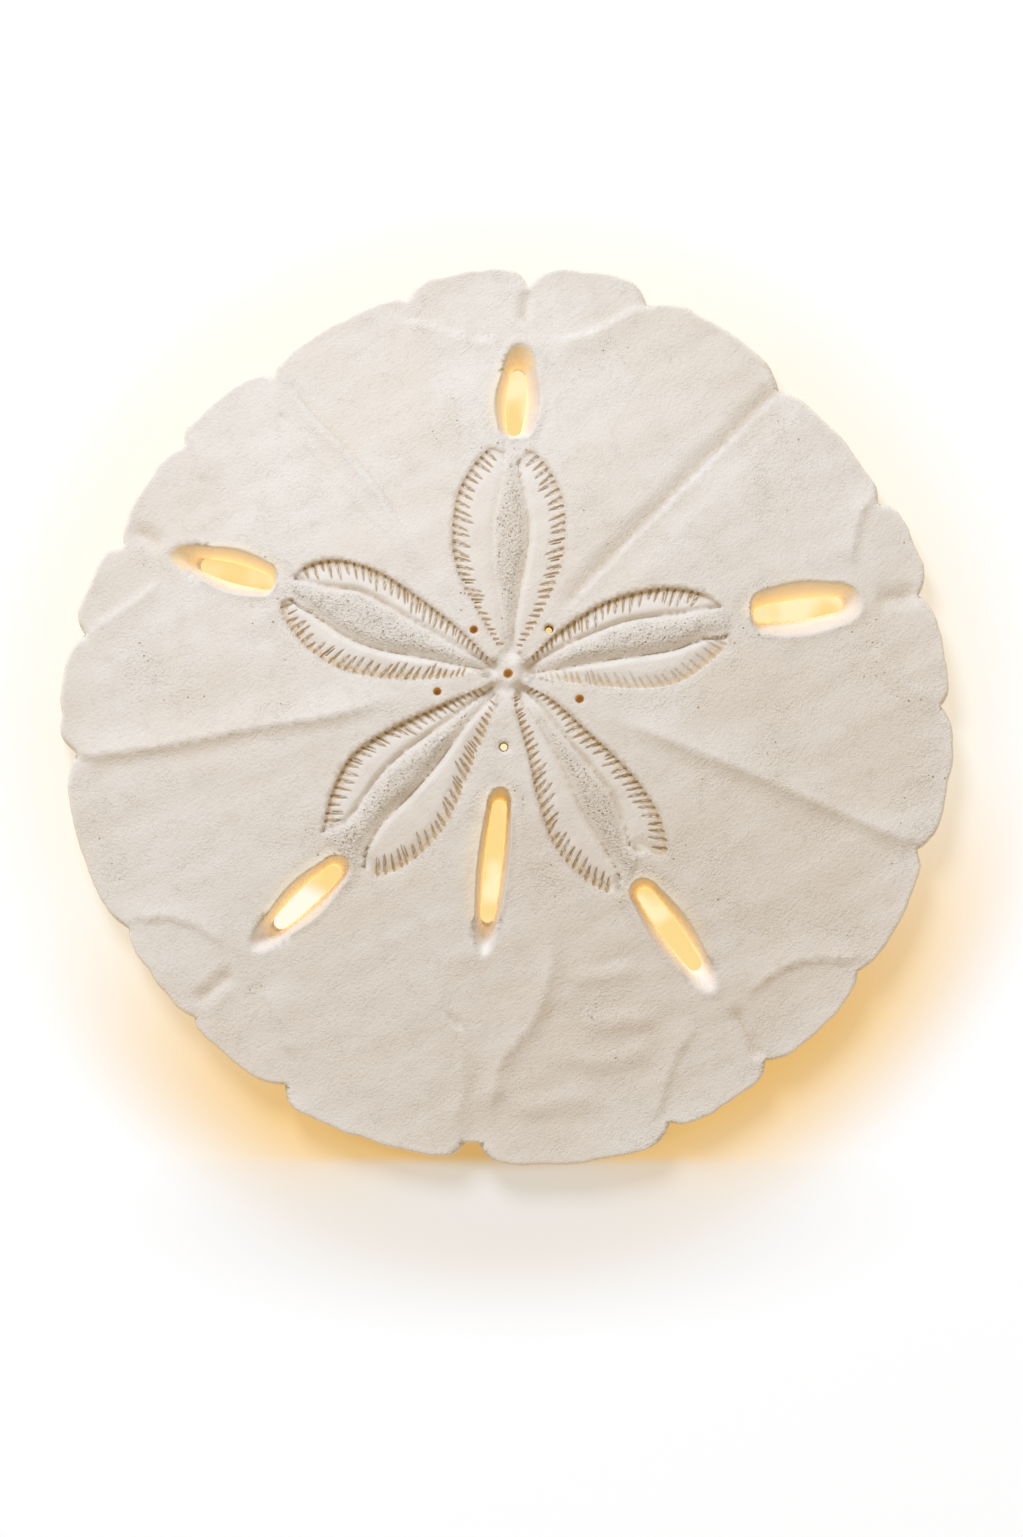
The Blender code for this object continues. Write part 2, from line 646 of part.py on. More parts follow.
def add_folds(plan, outline, obstacles):
    """Add the crest and the feet of every fold, the feet clear of the obstacles."""
    for knots, _height, left_width, right_width in FOLDS.values():
        path = smooth_path(knots, FIELD_SPACING)
        plan.add(path, line=True)
        for offset in (left_width, -right_width):
            foot = beside(path, offset)
            plan.add(foot[is_free(foot, obstacles) & is_inside(foot, inset(outline, MARGIN))])


def top_plan(outline):
    """Lay out the points of the upper surface."""
    plan, rings = start_plan(outline)
    for distance in TOP_INSETS:
        plan.add(inset(outline, distance))
    add_openings(plan)
    for petal in PETALS.values():
        add_petal(plan, petal)
    hulls = [petal_hull(petal) for petal in PETALS.values()]
    slot_rims = [slot_ring(slot, 1.0) for slot in SLOTS.values()]
    add_folds(plan, outline, hulls + slot_rims)

    def is_petal(points):
        return ~is_free(points, hulls)

    def is_field(points):
        return is_inside(points, inset(outline, MARGIN)) & is_free(points, slot_rims)

    plan.scatter(PETAL_SPACING, is_petal, PETAL_CLEARANCE)
    plan.scatter(FIELD_SPACING, is_field, FIELD_CLEARANCE)
    return plan, rings


def groove_paths():
    """Yield the food grooves: five trunks that fork on the way out."""
    centre = np.array(MOUTH[0])
    for angle in GROOVE_ANGLES:
        heading = np.array((math.cos(math.radians(angle)), math.sin(math.radians(angle))))
        fork = centre + heading * GROOVE_TRUNK
        yield np.linspace(centre + heading * (MOUTH[1] + GROOVE_GAP), fork, 3)
        for turn in (-GROOVE_SPREAD, GROOVE_SPREAD):
            bend = math.radians(angle + turn)
            branch = np.array((math.cos(bend), math.sin(bend)))
            end = centre + branch * GROOVE_REACH
            bow = (fork + end) / 2 + (branch - heading) * GROOVE_BOW
            start = fork + branch * GROOVE_FORK_GAP
            yield smooth_path((start, bow, end), GROOVE_SPACING)


def under_plan(outline):
    """Lay out the points of the underside."""
    plan, rings = start_plan(outline)
    for distance in UNDER_INSETS:
        plan.add(inset(outline, distance), line=True, closed=True)
    for outer, inner, _flares in SLOTS.values():
        flare = (outer, inner, (SLOT_FLARE_UNDER,) * 4)
        for level in SLOT_UNDER_RINGS:
            plan.add(slot_ring(flare, level), line=True, closed=True)
    for centre, _radius in OPEN_PORES:
        plan.add(circle(centre, PORE_UNDER_RADIUS, PORE_SIDES), line=True, closed=True)
    for centre, radius, depth in (MOUTH, VENT):
        plan.add(circle(centre, radius, ROUND_SIDES), line=True, closed=True)
        plan.add(circle(centre, radius * ROUND_FLOOR, ROUND_SIDES), -depth, True, True)
    for path in groove_paths():
        ring = np.vstack([beside(path, GROOVE_HALF_WIDTH), beside(path, -GROOVE_HALF_WIDTH)[::-1]])
        plan.add(ring, line=True, closed=True)
        plan.add(path[1:-1], -GROOVE_DEPTH, line=True)

    def is_field(points):
        return is_inside(points, inset(outline, UNDER_MARGIN))

    plan.scatter(UNDER_SPACING, is_field, UNDER_CLEARANCE)
    return plan, rings


def calcite():
    """Make the material of the bare test."""
    material = bpy.data.materials.new("calcite")
    material.use_nodes = True
    shader = material.node_tree.nodes["Principled BSDF"]
    shader.inputs["Base Color"].default_value = CALCITE_COLOUR
    shader.inputs["Roughness"].default_value = CALCITE_ROUGHNESS
    shader.inputs["Metallic"].default_value = 0.0
    return material


def sand_dollar(collection):
    """Join the upper surface and the underside along the outline, slots and open pores."""
    outline = outline_ring()
    plan, rings = top_plan(outline)
    top = plan.mesh("top", rings, lambda points: top_height(points, outline), True)
    plan, rings = under_plan(outline)
    under = plan.mesh("under", rings, lambda points: under_height(points, outline), False)
    body = bmesh.new()
    body.from_mesh(top)
    body.from_mesh(under)
    bmesh.ops.remove_doubles(body, verts=body.verts, dist=WELD_DISTANCE)
    mesh = bpy.data.meshes.new(NAME)
    body.to_mesh(mesh)
    body.free()
    for spare in (top, under):
        bpy.data.meshes.remove(spare)
    mesh.materials.append(calcite())
    mesh.shade_smooth()
    mesh.set_sharp_from_angle(angle=SMOOTH_ANGLE)
    collection.objects.link(bpy.data.objects.new(NAME, mesh))


def main():
    clear_scene()
    collection = bpy.data.collections.new("sand_dollar_parts")
    bpy.context.scene.collection.children.link(collection)
    sand_dollar(collection)


main()
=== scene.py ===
"""The looks of a keyhole sand dollar that lies on its flat underside, petals up.

The sand dollar is one grown piece. Its sizes are in millimetres, and its plan
positions are (across, up) from the middle of the scalloped outline, until the
mesh is made in metres.
"""

import logging
import math
from dataclasses import dataclass, field
from enum import Enum
from typing import Any, Callable, Iterator, NamedTuple, Optional, Sequence, Union

import bpy
import numpy as np
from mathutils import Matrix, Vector, kdtree, noise
from mathutils.geometry import delaunay_2d_cdt


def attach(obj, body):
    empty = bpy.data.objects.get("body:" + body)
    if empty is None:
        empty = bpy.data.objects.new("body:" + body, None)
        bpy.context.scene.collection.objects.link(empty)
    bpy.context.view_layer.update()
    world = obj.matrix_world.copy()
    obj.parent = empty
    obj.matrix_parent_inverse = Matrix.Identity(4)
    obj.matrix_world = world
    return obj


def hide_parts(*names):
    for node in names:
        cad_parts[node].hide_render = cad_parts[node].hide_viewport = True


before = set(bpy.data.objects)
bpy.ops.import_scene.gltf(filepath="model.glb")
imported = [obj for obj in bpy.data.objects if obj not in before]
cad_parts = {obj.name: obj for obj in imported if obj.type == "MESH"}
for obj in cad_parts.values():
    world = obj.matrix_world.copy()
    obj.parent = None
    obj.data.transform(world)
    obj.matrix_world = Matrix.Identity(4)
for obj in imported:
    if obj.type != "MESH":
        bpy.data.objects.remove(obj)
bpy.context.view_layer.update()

MM = 0.001
BODY = "root"
NODE = "sand_dollar"
PIECE = "sand_dollar_test"
SEED = 20
NEARLY_NONE = 1e-4
FAR = 1e6
PLAN_REACH = 62.0
ROW_SHARE = 0.866
SHIFT_SHARE = 0.14
WALL_SHARE = 0.02
FOLD_SPACING = 1.2
FOLD_POWER = 2.0
VALLEY_POWER = 1.25
END_REACH = 20.0
END_ROUNDS = 12
LEAST_HALF = 0.05
HIGHEST_LEVEL = 30.0
CAP_STEPS = 14
SIDE_STEPS = 16
HOLE_SIDE_STEPS = 10

log = logging.getLogger("sand_dollar")

Span = tuple[float, float]
Knots = Sequence[tuple[float, float]]
Colour = tuple[float, float, float]


def ease(value: np.ndarray) -> np.ndarray:
    """Rise smoothly from 0 to 1.

    Args:
        value: Numbers, of which 0 to 1 is the rise.

    Returns:
        The eased numbers.
    """
    held = np.clip(value, 0.0, 1.0)
    return held * held * (3.0 - 2.0 * held)


def towards(angle: float) -> np.ndarray:
    """Return the plan heading at an angle in degrees."""
    turn = math.radians(angle)
    return np.array((math.cos(turn), math.sin(turn)))


def held_level(level: np.ndarray) -> np.ndarray:
    """Hold numbers within 0 to 1, with what is all but 0 held at 0."""
    return np.clip(np.where(level < NEARLY_NONE, 0.0, level), 0.0, 1.0)


def round_over(level: np.ndarray) -> np.ndarray:
    """Rise from 0 to 1 as a quarter circle, with what is all but 0 held at 0.

    Args:
        level: Numbers, of which 0 to 1 is the rise.

    Returns:
        The rounded rise.
    """
    return np.sqrt(1 - (1 - held_level(level)) ** 2)


def lies_inside(points: np.ndarray, ring: np.ndarray) -> np.ndarray:
    """Tell which plan points lie inside a closed ring.

    Args:
        points: Plan points, one to a row.
        ring: The ring's points in order.

    Returns:
        True for each point inside.
    """
    inside = np.zeros(len(points), dtype=bool)
    low, high = ring.min(axis=0), ring.max(axis=0)
    close = np.all((points >= low) & (points <= high), axis=1)
    part = points[close]
    found = np.zeros(len(part), dtype=bool)
    for start, end in zip(ring, np.roll(ring, -1, axis=0)):
        spans = (start[1] > part[:, 1]) != (end[1] > part[:, 1])
        rise = end[1] - start[1] or 1e-12
        crossing = start[0] + (end[0] - start[0]) * (part[:, 1] - start[1]) / rise
        found ^= spans & (part[:, 0] < crossing)
    inside[close] = found
    return inside


def wander(points: np.ndarray, size: float, octaves: int, offset: float) -> np.ndarray:
    """Return smooth noise of about -1 to 1 over the plan.

    Args:
        points: Plan points, one to a row.
        size: The width of the largest swell in millimetres.
        octaves: How many finer layers there are.
        offset: A shift that makes one use unlike another.

    Returns:
        One number for each point.
    """
    return np.array([noise.fractal((x / size, y / size, offset), 0.9, 2.0, octaves)
                     for x, y in points.tolist()])


class Nearness(NamedTuple):
    """How points lie by a line: distance, side (1 is its left) and how far along it."""

    distance: np.ndarray
    side: np.ndarray
    along: np.ndarray


class Line:
    """A smooth line through knots in plan."""

    def __init__(self, knots: Knots, spacing: float = 1.0) -> None:
        """Draw the line.

        Args:
            knots: The points that it passes through.
            spacing: About how far apart its drawn points are.
        """
        through = np.array(knots, dtype=float)
        padded = np.vstack([2 * through[0] - through[1], through, 2 * through[-1] - through[-2]])
        drawn = [through[0]]
        for before, start, end, after in zip(padded, padded[1:], padded[2:], padded[3:]):
            steps = max(1, round(float(np.linalg.norm(end - start)) / spacing))
            for step in range(1, steps + 1):
                t = step / steps
                pull = (end - before) * t + (2 * before - 5 * start + 4 * end - after) * t ** 2
                bend = (3 * start - before - 3 * end + after) * t ** 3
                drawn.append(start + 0.5 * (pull + bend))
        self.points = np.array(drawn)
        self.lengths = np.linalg.norm(np.diff(self.points, axis=0), axis=1)
        self.walked = np.concatenate([[0.0], np.cumsum(self.lengths)])

    def at(self, place: float) -> np.ndarray:
        """Return the point that lies a length along the line."""
        return np.array([np.interp(place, self.walked, self.points[:, i]) for i in (0, 1)])

    def beside(self, offset: float) -> np.ndarray:
        """Return the drawn points moved to the line's left by an offset.

        Args:
            offset: How far to the side of the line.

        Returns:
            The points, one to a row.
        """
        heading = np.gradient(self.points, axis=0)
        heading /= np.linalg.norm(heading, axis=1, keepdims=True)
        return self.points + offset * np.stack([-heading[:, 1], heading[:, 0]], axis=1)

    def near(self, points: np.ndarray, reach: float = math.inf) -> Nearness:
        """Measure points against the line.

        Args:
            points: Plan points, one to a row.
            reach: Points farther than this from the line's box are left at that distance.

        Returns:
            The nearness of each point.
        """
        distance = np.full(len(points), min(reach, FAR))
        side = np.ones(len(points))
        along = np.zeros(len(points))
        low, high = self.points.min(axis=0) - reach, self.points.max(axis=0) + reach
        close = np.all((points >= low) & (points <= high), axis=1)
        part = points[close]
        best, best_side, best_along = distance[close], side[close], along[close]
        for i, length in enumerate(self.lengths):
            heading = (self.points[i + 1] - self.points[i]) / length
            offset = part - self.points[i]
            run = np.clip(offset @ heading, 0.0, length)
            gap = np.hypot(offset[:, 0] - run * heading[0], offset[:, 1] - run * heading[1])
            turn = heading[0] * offset[:, 1] - heading[1] * offset[:, 0]
            closer = gap < best
            best = np.where(closer, gap, best)
            best_side = np.where(closer, np.sign(turn), best_side)
            best_along = np.where(closer, self.walked[i] + run, best_along)
        distance[close], side[close], along[close] = best, best_side, best_along
        return Nearness(distance, side, along / self.walked[-1])


@dataclass(frozen=True)
class Scallop:
    """A lobe of the outline that starts at a notch."""

    angle: float
    radius: float
    bulge: float
    sharpness: float = 5.0


@dataclass
class Outline:
    """The scalloped outline of the plate."""

    scallops: tuple[Scallop, ...] = (
        Scallop(1.3, 58.9, 1.55),
        Scallop(16.3, 58.1, 1.95),
        Scallop(29.7, 58.2, 1.2),
        Scallop(50.0, 57.5, 2.0),
        Scallop(71.0, 58.9, 2.75),
        Scallop(87.0, 58.5, 2.4),
        Scallop(103.5, 57.9, 1.3),
        Scallop(124.3, 55.8, 1.8),
        Scallop(140.0, 57.0, 1.25),
        Scallop(156.0, 56.7, 2.2),
        Scallop(169.0, 57.9, 2.1),
        Scallop(185.0, 58.6, 1.8),
        Scallop(209.5, 58.6, 1.0),
        Scallop(224.0, 58.6, 1.3),
        Scallop(239.0, 58.3, 2.4, 12.0),
        Scallop(264.6, 58.1, 0.0),
        Scallop(266.3, 58.1, 2.7, 9.0),
        Scallop(292.0, 59.4, 1.65),
        Scallop(307.0, 58.6, 1.4),
        Scallop(324.0, 58.9, 1.4),
        Scallop(342.0, 58.7, 1.95),
    )
    steps: int = 30
    chipping: float = 0.26
    chip_size: float = 3.4

    def __post_init__(self) -> None:
        """Draw the ring and the closed line along it."""
        ring = []
        for index, scallop in enumerate(self.scallops):
            after = self.scallops[(index + 1) % len(self.scallops)]
            span = (after.angle - scallop.angle) % 360
            for step in range(self.steps):
                angle = scallop.angle + span * step / self.steps
                radius = float(self.radius(np.array([angle]))[0])
                turn = math.radians(angle)
                ring.append((radius * math.cos(turn), radius * math.sin(turn)))
        plain = np.array(ring)
        uneven = self.chipping * wander(plain, self.chip_size, 3, 6.3)
        self.ring = plain * (1 + uneven / np.linalg.norm(plain, axis=1))[:, None]
        self.line = Line([*self.ring.tolist(), self.ring[0].tolist()], 10.0)

    def radius(self, angle: np.ndarray) -> np.ndarray:
        """Return the outline's radius.

        Args:
            angle: Angles round the middle in degrees.

        Returns:
            The radius at each angle.
        """
        table = np.array([(s.angle, s.radius, s.bulge, s.sharpness) for s in self.scallops])
        turned = (angle - table[0, 0]) % 360 + table[0, 0]
        index = np.searchsorted(table[:, 0], turned, side="right") - 1
        after = (index + 1) % len(table)
        t = (turned - table[index, 0]) / ((table[after, 0] - table[index, 0]) % 360)
        chord = table[index, 1] * (1 - t) + table[after, 1] * t
        return chord + table[index, 2] * (1 - np.abs(2 * t - 1) ** table[index, 3])

    def inset(self, distance: float) -> np.ndarray:
        """Return the ring moved in towards the middle."""
        return self.ring * (1 - distance / np.linalg.norm(self.ring, axis=1, keepdims=True))


@dataclass(frozen=True)
class KeyholeSlot:
    """A slot through the plate, with a flared rim. Left is seen from its outer end."""

    outer: tuple[float, float]
    inner: tuple[float, float]
    outer_flare: float
    left_flare: float
    inner_flare: float
    right_flare: float
    half_width: float = 1.0
    belly: float = 0.32

    def axis(self) -> tuple[np.ndarray, np.ndarray, np.ndarray, float]:
        """Return both ends, the heading from the outer to the inner one and the length."""
        outer, inner = np.array(self.outer), np.array(self.inner)
        length = float(np.linalg.norm(inner - outer))
        return outer, inner, (inner - outer) / length, length

    def swell(self, share: np.ndarray) -> np.ndarray:
        """Return how far the slot's sides bow out at shares of its length."""
        return self.belly * np.sin(np.clip(share, 0.0, 1.0) * math.pi)

    def level(self, points: np.ndarray) -> np.ndarray:
        """Return how far points are up the flare.

        Args:
            points: Plan points, one to a row.

        Returns:
            0 at the slot's edge, 1 at its rim, less inside and more outside.
        """
        outer, _, heading, length = self.axis()
        offset = points - outer
        run = offset @ heading
        across = heading[0] * offset[:, 1] - heading[1] * offset[:, 0]
        beyond = run - np.clip(run, 0.0, length)
        bow = self.swell(run / length)
        side = np.where(across > 0, self.left_flare, self.right_flare) + bow
        end = np.where(beyond < 0, self.outer_flare, self.inner_flare)
        level = (np.abs(across) - self.half_width - bow) / side
        close = (np.abs(beyond) < END_REACH) & (np.abs(across) < END_REACH)
        at_end = (beyond != 0.0) & close
        level = np.where((beyond != 0.0) & ~at_end, END_REACH, level)
        level[at_end] = self.end_level(np.abs(across[at_end]), np.abs(beyond[at_end]),
                                       side[at_end], end[at_end])
        return level

    def end_level(self, across: np.ndarray, beyond: np.ndarray, side: np.ndarray,
                  end: np.ndarray) -> np.ndarray:
        """Return the level of points beyond an end, where each ring is half an ellipse.

        Args:
            across: Distances from the slot's axis.
            beyond: Distances beyond the end's centre.
            side: The flare on the points' side.
            end: The flare of the end.

        Returns:
            The level of each point.
        """
        level = np.full(len(across), 0.5)
        lowest = -0.8 * self.half_width / side
        for _ in range(END_ROUNDS):
            wide = np.maximum(self.half_width + side * level, LEAST_HALF)
            long = np.maximum(self.half_width + end * level, LEAST_HALF)
            size = np.hypot(across / wide, beyond / long)
            slope = (across ** 2 * side / wide ** 3 + beyond ** 2 * end / long ** 3) / size
            level = np.clip(level + (size - 1) / slope, lowest, HIGHEST_LEVEL)
        return level

    def ring(self, level: float, cap_steps: int, side_steps: int) -> np.ndarray:
        """Return the ring round the slot at a level of its flare.

        Args:
            level: 0 for the slot's edge, 1 for its rim.
            cap_steps: Points round each end.
            side_steps: Points along each side.

        Returns:
            The ring's points.
        """
        outer, inner, heading, _ = self.axis()
        left = np.array((-heading[1], heading[0]))
        ring: list[np.ndarray] = []
        ends = ((outer, -heading, left, self.left_flare, self.right_flare, self.outer_flare),
                (inner, heading, -left, self.right_flare, self.left_flare, self.inner_flare))
        for centre, out, turn, first_flare, last_flare, end_flare in ends:
            for step in range(cap_steps + 1):
                angle = math.pi * step / cap_steps
                sideways, endward = math.cos(angle), math.sin(angle)
                side_flare = first_flare if sideways > 0 else last_flare
                wide = self.half_width + side_flare * level
                long = self.half_width + end_flare * level
                ring.append(centre + turn * wide * sideways + out * long * endward)
            far_centre = inner if centre is outer else outer
            for step in range(1, side_steps):
                bow = float(self.swell(np.array(step / side_steps)))
                along = centre + (far_centre - centre) * step / side_steps
                ring.append(along - turn * (self.half_width + bow + (last_flare + bow) * level))
        return np.array(ring)

    def flared(self, flare: float) -> "KeyholeSlot":
        """Return the same slot with one flare all round."""
        return KeyholeSlot(self.outer, self.inner, flare, flare, flare, flare)


@dataclass(frozen=True)
class Pore:
    """A small round pore near the hub, blind or open right through."""

    centre: tuple[float, float]
    radius: float
    is_open: bool = False
    taper: float = 0.75
    depth: float = 1.7

    def ring(self, scale: float, sides: int) -> np.ndarray:
        """Return a ring round the pore.

        Args:
            scale: The ring's radius as a share of the rim's.
            sides: How many points it has.

        Returns:
            The ring's points.
        """
        turns = np.arange(sides) * 2 * math.pi / sides
        circle = np.stack([np.cos(turns), np.sin(turns)], axis=1)
        return np.array(self.centre) + self.radius * scale * circle

    def gap(self, points: np.ndarray) -> np.ndarray:
        """Return how far plan points are from the pore's centre."""
        return np.linalg.norm(points - np.array(self.centre), axis=1)

    def bore(self) -> float:
        """Return the radius within which an open pore's wall stands."""
        return self.radius * (self.taper + WALL_SHARE)


class FoldKind(Enum):
    """What a fold of the plate is."""

    RIDGE = "ridge"
    VALLEY = "valley"
    STEP = "step"
    RIPPLE = "ripple"


@dataclass(frozen=True)
class Fold:
    """A fold of the plate, drawn from the margin inward."""

    kind: FoldKind
    knots: Knots
    height: float
    left_width: float
    right_width: float
    end_fade: float = 0.25

    def relief(self, points: np.ndarray) -> np.ndarray:
        """Return the height that the fold adds at plan points.

        Args:
            points: Plan points, one to a row.

        Returns:
            The height at each point.
        """
        reach = max(self.left_width, self.right_width)
        near = Line(self.knots, FOLD_SPACING).near(points, reach)
        width = np.where(near.side > 0, self.left_width, self.right_width)
        closeness = np.clip(1 - near.distance / width, 0.0, 1.0)
        fade = ease((1 - near.along) / self.end_fade)
        if self.kind is FoldKind.RIPPLE:
            fade = fade * ease(near.along / self.end_fade)
            return self.height * ease(closeness) * fade
        power = VALLEY_POWER if self.kind is FoldKind.VALLEY else FOLD_POWER
        return self.height * closeness ** power * fade


@dataclass(frozen=True)
class PetalSide:
    """One side of a petal: its outer border and inner valley, from the hub to the tip."""

    outer: Knots
    inner: Knots
    valley_share: float = 1.0
    stroke_share: float = 1.0

    def leaf(self) -> np.ndarray:
        """Return the ring round the side's sunk leaf."""
        return np.vstack([Line(self.outer).points, Line(self.inner).points[::-1]])


@dataclass(frozen=True)
class Petal:
    """A petal of two sides with a raised lens between; left is seen from the hub."""

    left: PetalSide
    right: PetalSide
    depth: float = 0.75

    def sides(self) -> tuple[PetalSide, PetalSide]:
        """Return both sides."""
        return self.left, self.right

    def hull(self) -> np.ndarray:
        """Return the ring round the whole petal."""
        return np.vstack([Line(self.left.outer).points, Line(self.right.outer).points[::-1]])

    def lens(self) -> np.ndarray:
        """Return the ring round the lens."""
        return np.vstack([Line(self.left.inner).points, Line(self.right.inner).points[::-1]])

    def axis(self, hub: tuple[float, float]) -> np.ndarray:
        """Return the unit heading from the hub to the petal's tip."""
        tip = np.mean([side.outer[-1] for side in self.sides()], axis=0) - np.array(hub)
        return tip / np.linalg.norm(tip)


PETALS = {
    "top": Petal(
        PetalSide(
            ((-0.9, 8.6), (-3.9, 13.8), (-6.5, 18.8), (-7.4, 23.8), (-6.8, 29.4), (-4.7, 33.6),
             (-2.2, 36.2), (-0.3, 35.6)),
            ((0.3, 8.5), (-0.9, 14.2), (-1.8, 19.8), (-1.9, 24.4), (-1.3, 28.6), (-0.5, 32.4),
             (-0.3, 35.6)),
            valley_share=0.3),
        PetalSide(
            ((1.8, 8.4), (4.7, 13.2), (7.4, 19.3), (8.2, 25.1), (7.6, 30.0), (5.3, 34.2),
             (3.2, 35.8), (1.6, 34.4)),
            ((0.8, 8.6), (1.2, 12.4), (1.8, 16.3), (2.6, 20.5), (3.1, 24.1), (3.05, 26.6),
             (2.5, 29.4), (1.8, 32.2), (1.6, 34.4)),
            valley_share=0.85),
        depth=0.36),
    "left": Petal(
        PetalSide(
            ((-2.3, 5.8), (-10.0, 4.7), (-16.9, 4.9), (-22.4, 6.1), (-27.3, 9.3), (-30.1, 13.1),
             (-30.4, 15.4), (-29.2, 15.9)),
            ((-2.2, 6.0), (-10.0, 7.6), (-17.0, 8.9), (-21.6, 10.7), (-26.2, 13.9),
             (-29.2, 15.9))),
        PetalSide(
            ((-1.6, 7.3), (-6.9, 12.4), (-13.5, 17.4), (-18.1, 20.0), (-22.8, 21.2),
             (-26.7, 20.5), (-28.9, 18.6)),
            ((-1.9, 6.6), (-7.7, 10.0), (-13.9, 13.5), (-19.4, 16.6), (-24.4, 17.3),
             (-28.9, 18.6)))),
    "right": Petal(
        PetalSide(
            ((2.7, 7.4), (7.3, 11.7), (13.4, 15.5), (20.1, 17.3), (24.8, 17.1), (27.5, 16.1),
             (29.3, 14.7)),
            ((3.1, 6.7), (9.3, 10.0), (16.3, 12.7), (24.0, 13.8), (29.3, 14.7))),
        PetalSide(
            ((2.8, 5.3), (9.5, 4.1), (18.0, 3.4), (23.5, 4.3), (27.5, 6.9), (30.0, 9.5),
             (30.1, 10.9)),
            ((3.2, 5.6), (9.5, 6.8), (15.9, 7.8), (22.3, 8.8), (26.6, 10.4), (30.1, 10.9)),
            stroke_share=0.55)),
    "lower_left": Petal(
        PetalSide(
            ((-0.7, 3.2), (-2.6, -2.3), (-5.4, -9.2), (-7.7, -14.4), (-10.9, -18.5),
             (-15.0, -21.2), (-17.7, -21.7), (-19.2, -20.7)),
            ((-1.1, 3.3), (-5.1, -0.8), (-8.9, -6.1), (-12.7, -10.5), (-16.5, -14.2),
             (-18.8, -17.8), (-19.2, -20.7))),
        PetalSide(
            ((-1.9, 4.5), (-8.9, 1.6), (-15.7, -1.6), (-20.8, -5.1), (-23.4, -9.6),
             (-24.4, -13.1), (-25.0, -15.8)),
            ((-1.8, 3.9), (-7.2, -0.3), (-13.4, -4.7), (-17.1, -8.2), (-20.0, -12.4),
             (-21.7, -14.4), (-25.0, -15.8)))),
    "lower_right": Petal(
        PetalSide(
            ((2.7, 4.2), (6.3, 2.3), (11.6, -2.4), (16.7, -7.3), (20.1, -12.0), (21.6, -15.9),
             (21.7, -18.9), (18.2, -18.6)),
            ((2.6, 3.5), (6.8, -1.6), (11.3, -6.9), (14.3, -10.9), (15.9, -14.9),
             (16.5, -17.4), (18.2, -18.6))),
        PetalSide(
            ((0.9, 3.1), (1.1, 0.8), (2.8, -5.3), (4.2, -11.7), (6.6, -18.0), (10.3, -22.0),
             (13.5, -24.0), (15.3, -23.9)),
            ((1.6, 3.2), (3.9, -0.4), (7.4, -6.6), (10.4, -13.1), (13.4, -18.1),
             (15.3, -21.1), (15.3, -23.9)))),
}

SLOTS = {
    "top": KeyholeSlot((1.6, 45.9), (1.1, 39.0), 3.6, 1.7, 0.7, 1.2),
    "left": KeyholeSlot((-40.4, 20.4), (-32.5, 18.2), 4.4, 1.5, 0.6, 1.1),
    "right": KeyholeSlot((44.6, 15.1), (34.6, 13.8), 2.6, 1.9, 0.7, 2.0),
    "lower_left": KeyholeSlot((-30.5, -27.9), (-23.4, -21.2), 4.4, 1.1, 1.8, 1.1),
    "lower_right": KeyholeSlot((25.5, -33.5), (18.9, -24.3), 3.4, 1.1, 1.6, 1.1),
    "rear": KeyholeSlot((-2.5, -27.1), (-0.9, -12.4), 4.3, 0.8, 1.9, 0.75, 0.92, 0.2),
}

PORES = {
    "hub": Pore((0.3, 5.6), 0.68),
    "upper_left": Pore((-4.3, 11.5), 0.6),
    "right": Pore((9.9, 2.2), 0.64),
    "left": Pore((-9.2, 3.2), 0.6),
    "upper_right": Pore((5.8, 11.6), 0.6, is_open=True),
    "rear": Pore((-0.3, -4.2), 0.66, is_open=True),
}


def open_pores() -> list[Pore]:
    """Return the pores that run right through."""
    return [pore for pore in PORES.values() if pore.is_open]


